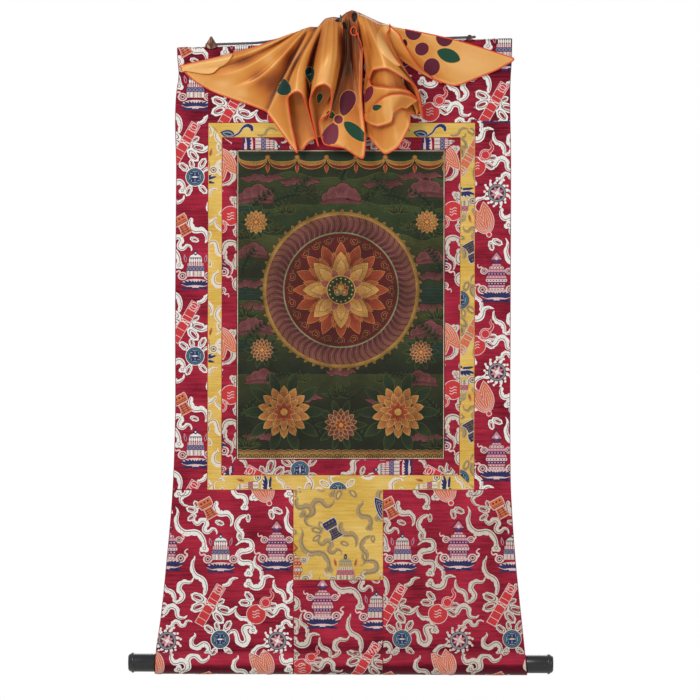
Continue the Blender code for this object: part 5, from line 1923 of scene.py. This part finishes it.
def hem_thread(name, edge, normals):
    """Overlocked edge: a flat round thread bundle along the cloth's edge,
    with a stitch every 1.8 mm, each painted lighter where it swells and
    darker where it narrows: painted highlight and painted shade."""
    run = arc_run(edge)
    at = np.linspace(0, run[-1], int(run[-1] / HALF_STITCH))

    def radius_at(angle, index):
        return HEM_RADIUS * (0.9 + 0.16 * np.cos(index * math.pi) + 0.04 * np.sin(angle * 3))

    # painted highlight where each stitch swells, painted shade where it narrows
    def painted_light_at(angle, index):
        return 0.55 + 0.4 * np.cos(index * math.pi) + 0 * angle
    return tube(read_off(edge, run, at), read_off(normals, run, at), (8, radius_at), name, [OVERLOCK],
                painted_light_at)


def finer(plan, times):
    """Put more points between those of a grid, along straight lines."""
    for axis in (0, 1):
        n = plan.shape[axis]
        at = np.linspace(0, n - 1, (n - 1) * times[axis] + 1)
        i = np.minimum(at.astype(int), n - 2)
        t = (at - i).reshape((-1, 1, 1) if axis == 0 else (1, -1, 1))
        a, b = np.take(plan, i, axis), np.take(plan, i + 1, axis)
        plan = a + (b - a) * t
    return plan


def plan_of(grid):
    """Metres back to plan units."""
    return np.stack([grid[..., 0] / UNIT + HANG_X, HANG_Y - grid[..., 2] / UNIT,
                     (FACE_Y - grid[..., 1]) / UNIT], -1)


# the map of the veil's front: its left edge, cells a unit, rows, columns,
# the value of an empty cell, a value under that of all silk, how far
# forward the mount is taken to lie, and the least forward value of silk
MAP_LEFT = 170.0
MAP_CELLS = 2
MAP_ROWS = 340
MAP_COLUMNS = 720
EMPTY = -99.0
UNDER_SILK = -90.0
MOUNT_FORWARD = -4.0
LEAST_FORWARD = -5


def front_map(surfaces):
    """How far forward the silk lies over each half unit of the plan, as the
    greatest of all its layers there, or EMPTY where there is none."""
    heights = np.full((MAP_ROWS, MAP_COLUMNS), EMPTY)
    for plan in surfaces:
        fine = finer(plan, (5, 14))
        row = np.clip(np.round(fine[..., 1] * MAP_CELLS), 0, MAP_ROWS - 1).astype(int)
        column = np.clip(np.round((fine[..., 0] - MAP_LEFT) * MAP_CELLS), 0, MAP_COLUMNS - 1).astype(int)
        np.maximum.at(heights, (row, column), fine[..., 2])
    total = np.zeros_like(heights)
    weight = np.zeros_like(heights)
    for a in (-1, 0, 1):
        for b in (-1, 0, 1):
            near = np.roll(heights, (a, b), (0, 1))
            same = np.abs(near - heights) < 4
            total += np.where(same, near, 0)
            weight += same
    return np.where(heights > UNDER_SILK, total / np.maximum(weight, 1), heights)


def map_at(heights, across, down):
    """A value of the map between its cells, by straight lines."""
    x = np.clip((across - MAP_LEFT) * MAP_CELLS, 0, MAP_COLUMNS - 1.001)
    y = np.clip(down * MAP_CELLS, 0, MAP_ROWS - 1.001)
    i, j = y.astype(int), x.astype(int)
    u, v = y - i, x - j
    return ((heights[i, j] * (1 - v) + heights[i, j + 1] * v) * (1 - u)
            + (heights[i + 1, j] * (1 - v) + heights[i + 1, j + 1] * v) * u)


def openness(heights):
    """Share of the front sky that each cell of the map sees: one less the
    mean sine of the horizon in 16 directions, looked for up to 40 units,
    lighter on ridges. The veil takes it as painted shade in the hollows and
    a painted highlight on the ridges."""
    base = np.where(heights < UNDER_SILK, MOUNT_FORWARD, heights)
    covered = np.zeros_like(base)
    for k in range(16):
        turn = k * math.pi / 8
        highest = np.zeros_like(base)
        for reach in (2, 4, 7, 11, 17, 26, 40, 60, 80):
            step = (int(round(reach * math.sin(turn))), int(round(reach * math.cos(turn))))
            slope = ((np.roll(base, step, (0, 1)) - base) / (math.hypot(*step) / MAP_CELLS))
            highest = np.maximum(highest, slope)
        covered += highest / np.sqrt(1 + highest ** 2)
    near = sum(np.roll(base, step, (0, 1))
               for step in ((6, 0), (-6, 0), (0, 6), (0, -6), (4, 4), (-4, -4), (4, -4), (-4, 4))) / 8
    ridge = np.clip((base - near) / 2.0, -1, 1)
    return np.clip(1.0 - covered / 16 + 0.16 * ridge, 0.0, 1.0)


# soft patches of painted shade where the silk is bunched, and of painted
# highlight where it is stretched: middle, reach to both sides, and share
PAINTED_SHADE_AND_LIGHT_PATCHES = (
    (349.5, 33.0, 7.5, 21.0, 0.60), (347.0, 62.0, 6.0, 16.0, 0.22),
    (292.0, 60.0, 9.0, 10.0, 0.26), (270.0, 84.0, 13.0, 12.0, 0.22),
    (214.0, 73.0, 12.0, 5.0, 0.22), (243.0, 60.0, 12.0, 8.0, 0.22),
    (256.0, 78.0, 9.0, 9.0, 0.20), (236.0, 74.0, 30.0, 14.0, 0.10),
    (271.0, 62.0, 7.0, 6.0, -0.20), (224.0, 84.0, 9.0, 5.0, -0.14),
    (244.0, 94.0, 10.0, 5.0, -0.14), (468.0, 64.0, 16.0, 8.0, -0.12),
)


def silk_painted_shade(plan, heights, seen, least):
    """Painted shade and highlight at a surface's points, as its tone: lighter
    on the ridges, darker in the hollows and under another layer, with soft
    bell-shaped patches of painted shade and highlight."""
    tone = map_at(seen, plan[..., 0], plan[..., 1])
    under = map_at(heights, plan[..., 0], plan[..., 1]) - plan[..., 2]
    # painted shade and highlight from openness, darker still under another layer
    tone = 1.16 * tone - 0.33 - 0.035 * np.clip(under - 1.5, 0, 6)
    for x, y, wide, high, share in PAINTED_SHADE_AND_LIGHT_PATCHES:
        tone = tone - share * np.exp(-((plan[..., 0] - x) / wide) ** 2
                                     - ((plan[..., 1] - y) / high) ** 2)
    return np.clip(tone, least, 0.95)


def silk_piece(name, plan, grid, heights, seen):
    """A thin silk surface with its painted shade as tone; the linings and
    ruffles get less painted shade, as light comes through them, so they stay
    brighter."""
    least = 0.0 if name == "gathered_silk_veil" else 0.36
    piece = make_piece(name, grid, grid_faces(*grid.shape[:2]), [SILK], spots=plan[..., :2],
                       tone=silk_painted_shade(plan, heights, seen, least))
    return thicken(piece, SILK_SHEET)


STEEPEST = 2.5


def on_silk(heights, across, down, lift):
    """A point over the front of the silk: lift is in metres, square to the
    surface, whose slopes come from the map and are held to STEEPEST."""
    h = map_at(heights, across, down)
    slopes = []
    for a, b in ((1, 0), (0, 1)):
        rise = map_at(heights, across + a, down + b) - map_at(heights, across - a, down - b)
        slopes.append(np.clip(rise / 2, -STEEPEST, STEEPEST))
    size = np.sqrt(1 + slopes[0] ** 2 + slopes[1] ** 2)
    lift = np.asarray(lift) / UNIT / size
    return place(across - slopes[0] * lift, down - slopes[1] * lift, h + lift)


def printed_shape(x, y, long, wide, turn, taper, point):
    """A printed leaf or petal: an oval about its middle, tapered towards
    its far end, and pointed by a power of the sine."""
    a = np.linspace(0, 2 * math.pi, 65)[None, :]
    s = np.linspace(0, 1, 19)[:, None]
    along = s * long / 2 * np.cos(a)
    out = (s * wide / 2 * np.sin(a) * np.abs(np.sin(a)) ** point * (1 - taper * np.cos(a)))
    turn = math.radians(turn)
    return (x + along * math.sin(turn) + out * math.cos(turn),
            y - along * math.cos(turn) + out * math.sin(turn))


# middle, length, width, turn, taper, point and dye of each printed shape
PRINT_PLAN = (
    (346.9, 103.5, 26.4, 15.0, 18, -0.30, 0.0, "maroon"),
    (331.0, 134.2, 24.0, 15.6, 202, -0.30, 0.0, "plum"),
    (355.2, 132.0, 29.0, 12.4, 131, 0.0, 0.25, "green"),
    (331.4, 115.6, 10.4, 7.0, 300, -0.3, 0.0, "green"),
    (338.6, 120.0, 8.6, 8.6, 0, 0.0, 0.0, "plum"),
    (310.3, 75.6, 16.4, 9.0, 172, 0.50, 0.0, "teal"),
    (284.3, 87.6, 16.4, 13.4, 0, 0.40, 0.0, "teal"),
    (319.5, 98.8, 10.6, 5.2, 195, 0.5, 0.0, "green"),
    (368.2, 95.0, 17.6, 8.8, 26, 0.0, 0.1, "plum"),
    (377.2, 108.2, 9.6, 5.8, 75, 0.3, 0.2, "green"),
    (413.3, 32.0, 17.0, 16.4, 0, 0.0, 0.0, "maroon"),
    (421.8, 49.3, 14.2, 12.8, 60, 0.0, 0.0, "maroon"),
    (405.2, 42.8, 7.0, 3.6, 160, 0.0, 0.0, "dark"),
    (444.5, 37.6, 18.0, 17.0, 0, 0.0, 0.0, "maroon"),
    (448.5, 55.7, 24.4, 13.4, 111, 0.0, 0.35, "green"),
    (431.6, 67.0, 17.4, 16.2, 20, 0.0, 0.0, "maroon"),
    (409.6, 66.0, 7.0, 3.2, 120, 0.0, 0.0, "teal"),
    # near-black shapes at the head: painted shade in the gather
    (338.2, 20.4, 6.5, 3.4, 70, 0.0, 0.0, "dark"),
    (354.4, 17.4, 10.0, 5.8, 185, 0.2, 0.0, "dark"),
    (344.6, 26.0, 8.0, 4.4, 150, 0.3, 0.0, "dark"),
)


OUTLINE_LIFT = 0.00012
PRINT_LIFT = 0.00022
UPPER_OUTLINE_LIFT = 0.00030
UPPER_PRINT_LIFT = 0.00040
UPPER_FLOWER = (338.6, 120.0)


def add_prints(heights):
    """Flowers printed on the silk: each shape lies on the front of the cloth
    0.22 mm over it, its ochre outline 0.12 mm over it. The round flower on
    top of another lies higher. The near-black shapes have no outline; those
    at the head are painted shade."""
    spots, faces, looks, tone, rows = [], [], [], [], []
    start = 0
    for x, y, long, wide, turn, taper, point, dye in PRINT_PLAN:
        if dye != "dark":
            rim = 1.1 if dye != "teal" else 0.7
            rows.append((x, y, long + rim, wide + rim, turn, taper, point, "ochre", OUTLINE_LIFT))
        rows.append((x, y, long, wide, turn, taper, point, dye, PRINT_LIFT))
        if (x, y) == UPPER_FLOWER:
            rows[-2] = (x, y, 11.2, 11.2, 0, 0.0, 0.0, "ochre", UPPER_OUTLINE_LIFT)
            rows[-1] = (*rows[-1][:8], UPPER_PRINT_LIFT)
    names = list(PRINTS)
    for x, y, long, wide, turn, taper, point, dye, lift in rows:
        across, down = printed_shape(x, y, long, wide, turn, taper, point)
        spot = on_silk(heights, across, down, SILK_SHEET / 2 + lift)
        forward = map_at(heights, across, down)
        quads = grid_faces(*across.shape)[:, ::-1]
        deep = forward.ravel()[quads]
        good = (deep.min(1) > LEAST_FORWARD) & (np.ptp(deep, axis=1) < 2.4)
        faces.append(quads[good] + start)
        looks.append(np.full(int(good.sum()), names.index(dye)))
        spots.append(np.concatenate([spot.reshape(-1, 3), np.stack([across, down], -1).reshape(-1, 2)],
                                    1))
        grain = 0.5 + 0.5 * np.sin(across * 3.1) * np.sin(down * 2.7)
        tone.append(grain.ravel())
        start += across.size
    spots, faces = np.concatenate(spots), np.concatenate(faces)
    piece = make_piece("veil_printed_flowers", spots[:, :3], faces, list(PRINTS.values()),
                       np.concatenate(looks), spots=spots[:, 3:], tone=np.concatenate(tone))
    tidy_mesh(piece)
    return piece


# cloth that is turned over on the front of the veil: its two long edges
# across and down, the lift of each edge in mm, and whether the second edge
# is a hem
TURNED_OVER = (
    ("wing_lip",
     ((181.5, 67.0), (192, 63.2), (204, 60.0), (214, 57.6), (224, 55.2),
      (232, 53.4)),
     ((183.5, 70.6), (192, 72.2), (204, 74.2), (213, 73.6), (222, 65.6),
      (233, 56.6)), (-0.3, 3.6), False),
    ("side_band",
     ((388.0, 27.6), (386.2, 36), (386.6, 48), (391, 56), (400, 59.2),
      (411, 66.8), (422, 73.6), (432, 78.6), (440, 81.6)),
     ((389.6, 27.2), (397.7, 33.5), (404.4, 44.6), (410, 54), (415.5, 62.0),
      (421, 68.4), (426.7, 73.0), (433, 77.4), (441.5, 81.4)),
     (-0.3, 2.6), True),
    ("roll_lip",
     ((381.0, 27.0), (376.5, 36), (377.6, 47), (383, 56), (391, 63),
      (397.6, 67.4)),
     ((388.8, 26.8), (385.6, 35.7), (386.2, 48), (390.4, 57.0),
      (394.6, 63.2), (398.6, 68.4)), (-0.5, 4.0), True),
)
# ruffles in the mouth of the right roll: upper, middle and lower points of
# each line from left to right, across, down and forward
RUFFLES = (
    ("upper", (
        ((368.2, 80.5, 24), (365.6, 92, 18.5), (364.6, 112, 15.5)),
        ((371.5, 86.3, 28), (369.0, 97, 24), (367.0, 114, 20.5)),
        ((378.0, 87.8, 33), (375.5, 98, 29), (373.0, 109, 26.5)),
        ((388.0, 88.8, 36), (386.0, 97, 34.5), (384.0, 105, 32)),
        ((398.0, 89.2, 34), (397.5, 95, 33), (397.0, 102, 31)),
        ((408.0, 91.6, 28.5), (408.0, 96.5, 27), (408.0, 102, 25)),
        ((416.0, 98.4, 21.5), (415.0, 102, 20.5), (414.0, 107, 19.5)),
        ((421.5, 107.0, 16), (419.0, 111, 15.5), (416.5, 116, 15.5)))),
    ("lower", (
        ((365.6, 112.5, 17.5), (364.8, 116.4, 17), (365.6, 121.0, 16.5)),
        ((371.6, 107.6, 25.5), (369.6, 114.0, 24.5), (370.0, 124.4, 22.5)),
        ((378.0, 102.9, 32), (376.5, 113.0, 31), (377.5, 126.8, 29)),
        ((384.0, 98.4, 36.4), (383.5, 111.0, 35.5), (386.0, 124.8, 33.5)),
        ((391.0, 95.8, 38), (390.5, 107.0, 37), (391.4, 122.2, 34.5)),
        ((400.6, 95.2, 35.5), (396.5, 104.0, 35), (393.5, 113.5, 34)),
        ((410.0, 96.8, 29.5), (404.0, 102.4, 30), (400.6, 108.7, 30.5)),
        ((417.5, 101.2, 23.5), (411.0, 105.6, 24.5), (405.8, 109.5, 26)))),
)


def along_line(points, count):
    """Points spread evenly along a smooth line through the given ones."""
    return even_path(points, count, 12)[0]


def add_turned_over(heights, seen):
    """Bands of silk turned over on the veil's front: straight across from
    edge to edge, and lifted along a quarter sine."""
    pieces = []
    for name, inner, outer, (low, high), hemmed in TURNED_OVER:
        a, b = along_line(inner, 70), along_line(outer, 70)
        s = np.linspace(0, 1, 17)
        spot = a[:, None] + (b - a)[:, None] * s[None, :, None]
        lift = (low + (high - low) * np.sin(s * math.pi / 2))[None, :] / 1000
        lift = lift + 0 * spot[..., 0]
        grid = on_silk(heights, spot[..., 0], spot[..., 1], lift)
        deep = map_at(heights, spot[..., 0], spot[..., 1])
        quads = grid_faces(*deep.shape)[:, ::-1]
        corner = deep.ravel()[quads]
        good = (corner.min(1) > LEAST_FORWARD) & (np.ptp(corner, axis=1) < 6)
        # painted shade from how open the silk lies, with a painted highlight rising towards the second
        # edge
        tone = np.clip(map_at(seen, spot[..., 0], spot[..., 1]) * 1.25 - 0.22
                       + 0.10 * s[None, :], 0, 0.95)
        piece = make_piece("veil_turned_" + name, grid, quads[good], [SILK], spots=spot, tone=tone)
        tidy_mesh(piece)
        pieces.append(thicken(piece, SILK_SHEET))
        if hemmed:
            edge = grid[:, -1][deep[:, -1] > LEAST_FORWARD]
            pieces.append(hem_thread("veil_overlocked_" + name, edge,
                                     np.tile((0.0, -1.0, 0.0), (len(edge), 1))))
    return pieces


def add_curl(heights):
    """The hem's end curled up beside the hollow: a spiral of about one turn,
    then the hem's run down the edge."""
    t = np.linspace(0, 1, 60)[:, None]
    turn = 0.4 + 6.6 * (1 - t)
    size = 2.6 + 1.6 * t
    path = np.hstack([353.9 + 0.9 * size * np.cos(turn), 31.0 + 1.2 * size * np.sin(turn)])
    tail = along_line(((357.9, 33.4), (358.6, 38.0), (360.4, 42.0), (361.6, 47.0)), 24)
    path = np.vstack([path, tail[1:]])
    forward = np.clip(map_at(heights, path[:, 0], path[:, 1]), 6, 14)
    forward = np.convolve(np.pad(forward, 6, "edge"), np.ones(13) / 13, "valid") + 2.2
    spot = place(path[:, 0], path[:, 1], forward)
    return hem_thread("veil_curled_hem", spot, np.tile((0.0, -1.0, 0.0), (len(spot), 1)))


# steps along the fold lines: over the head, and down from its front point.
# Gathers are up to 0.6 mm high, about one or two waves a fold line.
HEAD_STEPS = (4, 6, 7, 5)
FALL_STEPS = (22, 26)
GATHER_DEPTH = 0.0006


def placed(plan):
    """A grid of plan points, in metres."""
    return place(plan[..., 0], plan[..., 1], plan[..., 2])


def gathered_front():
    """The veil's large surface: fold lines laid over the head and spread
    across, with fine gathers near the head."""
    lines = []
    for head, middle, hem in VEIL_FOLDS:
        top = head_height(head)
        line = [(head, top + drop, forward) for drop, forward in VEIL_BEHIND]
        for share, forward in VEIL_LEAN:
            line.append((head + share * (middle[0] - head), top + share * (middle[1] - top),
                         min(forward, 2.5 + middle[2] / 2)))
        lines.append(line + [middle, hem])
    grid = placed(spread_across(centripetal(lines, HEAD_STEPS + FALL_STEPS), 9))
    along = np.linspace(0, 1, grid.shape[1])[None, :]
    line = np.linspace(0, len(lines) - 1, grid.shape[0])[:, None]
    fade = np.clip((along - 0.24) / 0.12, 0, 1) * np.clip((0.92 - along) / 0.4, 0, 1)
    fade = fade * np.clip(1.5 - np.abs(line - 24) / 12, 0.25, 1)
    gather = (0.55 * np.sin(line * 2 * math.pi * 0.93 + 3 * along)
              + 0.35 * np.sin(line * 2 * math.pi * 1.71 - 5 * along + 1.3))
    return grid + surface_normals(grid) * (gather * fade * GATHER_DEPTH)[..., None]


def hem_round(values, first):
    """A grid's values down one side from a column on, along its hem and up
    the other side."""
    return np.concatenate([values[0, first:-1], values[:, -1], values[-1, -2:first:-1]])


def ruffle_top(values):
    """A ruffle's values along its upper edge."""
    return values[:, 0]


def ruffle_round(values):
    """A ruffle's values back along its upper edge, down its first side and
    along its lower edge."""
    return np.concatenate([values[::-1, 0], values[0, 1:-1], values[:, -1]])


def inner_folds(heights):
    """Linings inside the right roll and in the veil's mouth, from the front
    of the silk to a hem: name and surface of each."""
    made = []
    for name, table in (("roll", ROLL_LINING), ("mouth", MOUTH_LINING)):
        lined = [[(*top, float(map_at(heights, *map(np.array, top)))), *rest] for top, *rest in table]
        made.append((name, placed(spread_across(centripetal(lined, (24, 24)), 12))))
    return made


def add_veil():
    """The silk veil with its linings, ruffles, turned bands, overlocked hem
    and printed flowers."""
    grid = gathered_front()
    normals = surface_normals(grid)
    sheets = [("gathered_silk_veil", grid)]
    first = sum(HEAD_STEPS)
    edges = [("veil_overlocked_hem", hem_round(grid, first), hem_round(normals, first))]
    for name, sheet in inner_folds(front_map([plan_of(grid)])):
        sheets.append(("veil_inner_fold_" + name, sheet))
        edges.append(("veil_overlocked_hem_" + name, sheet[:, -1], surface_normals(sheet)[:, -1]))
    for name, table in RUFFLES:
        lines = [list(row) for row in table]
        sheet = placed(spread_across(centripetal(lines, (16, 16)), 10))
        sheets.append(("veil_ruffle_" + name, sheet))
        line_of = ruffle_top if name == "upper" else ruffle_round
        edges.append(("veil_overlocked_ruffle_" + name, line_of(sheet), line_of(surface_normals(sheet))))
    heights = front_map([plan_of(sheet) for _, sheet in sheets])
    # openness of the silk, used as its painted shade and highlight
    seen = openness(heights)
    made = [silk_piece(name, plan_of(sheet), sheet, heights, seen) for name, sheet in sheets]
    made += [hem_thread(*edge) for edge in edges]
    made += add_turned_over(heights, seen)
    made.append(add_curl(heights))
    made.append(add_prints(heights))
    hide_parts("veil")


set_stage()
add_cords()
mount = add_mount()
add_knobs()
add_loops()
add_veil()
SCATTERED = (*as_triangles(repeat_figures()), REPEAT)
SPRAYS = (*as_triangles(leaf_spray(235.0, 135.6)), (193.0, 500.0))
ON_YELLOW = {"white": "grey", "line": "gold", "ground": "yellow", "rose": "beige", "orange": "navy",
             "coral": "orange", "pink": "orange", "purple": "coral"}
ON_CRIMSON = {}
# white figures take the beige thread on these panels: painted shade, as their floats catch less light
# there
WHITE_IN_PAINTED_SHADE = {"white": "beige"}
CREAM = {**ON_YELLOW, "white": "cream", "rose": "cream"}
ALL = (0.0, -99.0, 700.0, 900.0)
# one row a piece of brocade: its panel, the figures, where their repeat
# starts, turn in quarters of a circle, colours, and its limits. The top of
# the right strip and the right half of the top panel are one piece.
WOVEN = (
    ("left_strip", SCATTERED, (195.0, 177.0), 0, ON_CRIMSON, ALL),
    ("right_strip", SCATTERED, (440.0, 191.6), 0, ON_CRIMSON,
     (0.0, 121.0, 700.0, 900.0)),
    ("right_strip", SCATTERED, (504.0, 137.0), 0, ON_CRIMSON,
     (0.0, -99.0, 700.0, 121.0)),
    ("top_panel", SCATTERED, (241.0, 143.0), 0, ON_CRIMSON,
     (0.0, -99.0, 350.0, 900.0)),
    ("top_panel", SCATTERED, (504.0, 137.0), 0, ON_CRIMSON,
     (350.0, -99.0, 700.0, 900.0)),
    ("lower_left_panel", SCATTERED, (220.2, 639.3), 0, ON_CRIMSON, ALL),
    ("lower_middle_panel", SCATTERED, (266.0, 697.0), 0, WHITE_IN_PAINTED_SHADE, ALL),
    ("lower_right_panel", SCATTERED, (402.0, 639.0), 0, WHITE_IN_PAINTED_SHADE, ALL),
    ("red_border_left", SCATTERED, (266.6, 190.8), 2, WHITE_IN_PAINTED_SHADE, ALL),
    ("red_border_right", SCATTERED, (489.0, 186.0), 2, WHITE_IN_PAINTED_SHADE, ALL),
    ("red_border_top", SCATTERED, (355.0, 146.0), 1, WHITE_IN_PAINTED_SHADE, ALL),
    ("red_border_bottom", SCATTERED, (300.0, 470.0), 3, WHITE_IN_PAINTED_SHADE, ALL),
    ("yellow_border_left", SCATTERED, (200.0, 250.0), 0, CREAM, ALL),
    ("yellow_border_right", SCATTERED, (460.0, 300.0), 2, ON_YELLOW, ALL),
    ("yellow_border_top", SPRAYS, (0.0, 0.0), 0, ON_YELLOW, ALL),
    ("yellow_border_bottom", SCATTERED, (338.0, 491.0), 3, CREAM, ALL),
    ("door_panel", SCATTERED, (345.0, 660.0), 0, ON_YELLOW, ALL),
)
for number, (name, figures, origin, quarter, colours, limits) in enumerate(WOVEN):
    woven_piece(f"{name}_figures_{number + 1}", PANELS[name], figures, origin,
                quarter * math.pi / 2, colours, limits)
add_painting()
for bar in ("roller_rod", "top_batten"):
    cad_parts[bar].data.materials.clear()
    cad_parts[bar].data.materials.append(LACQUER)
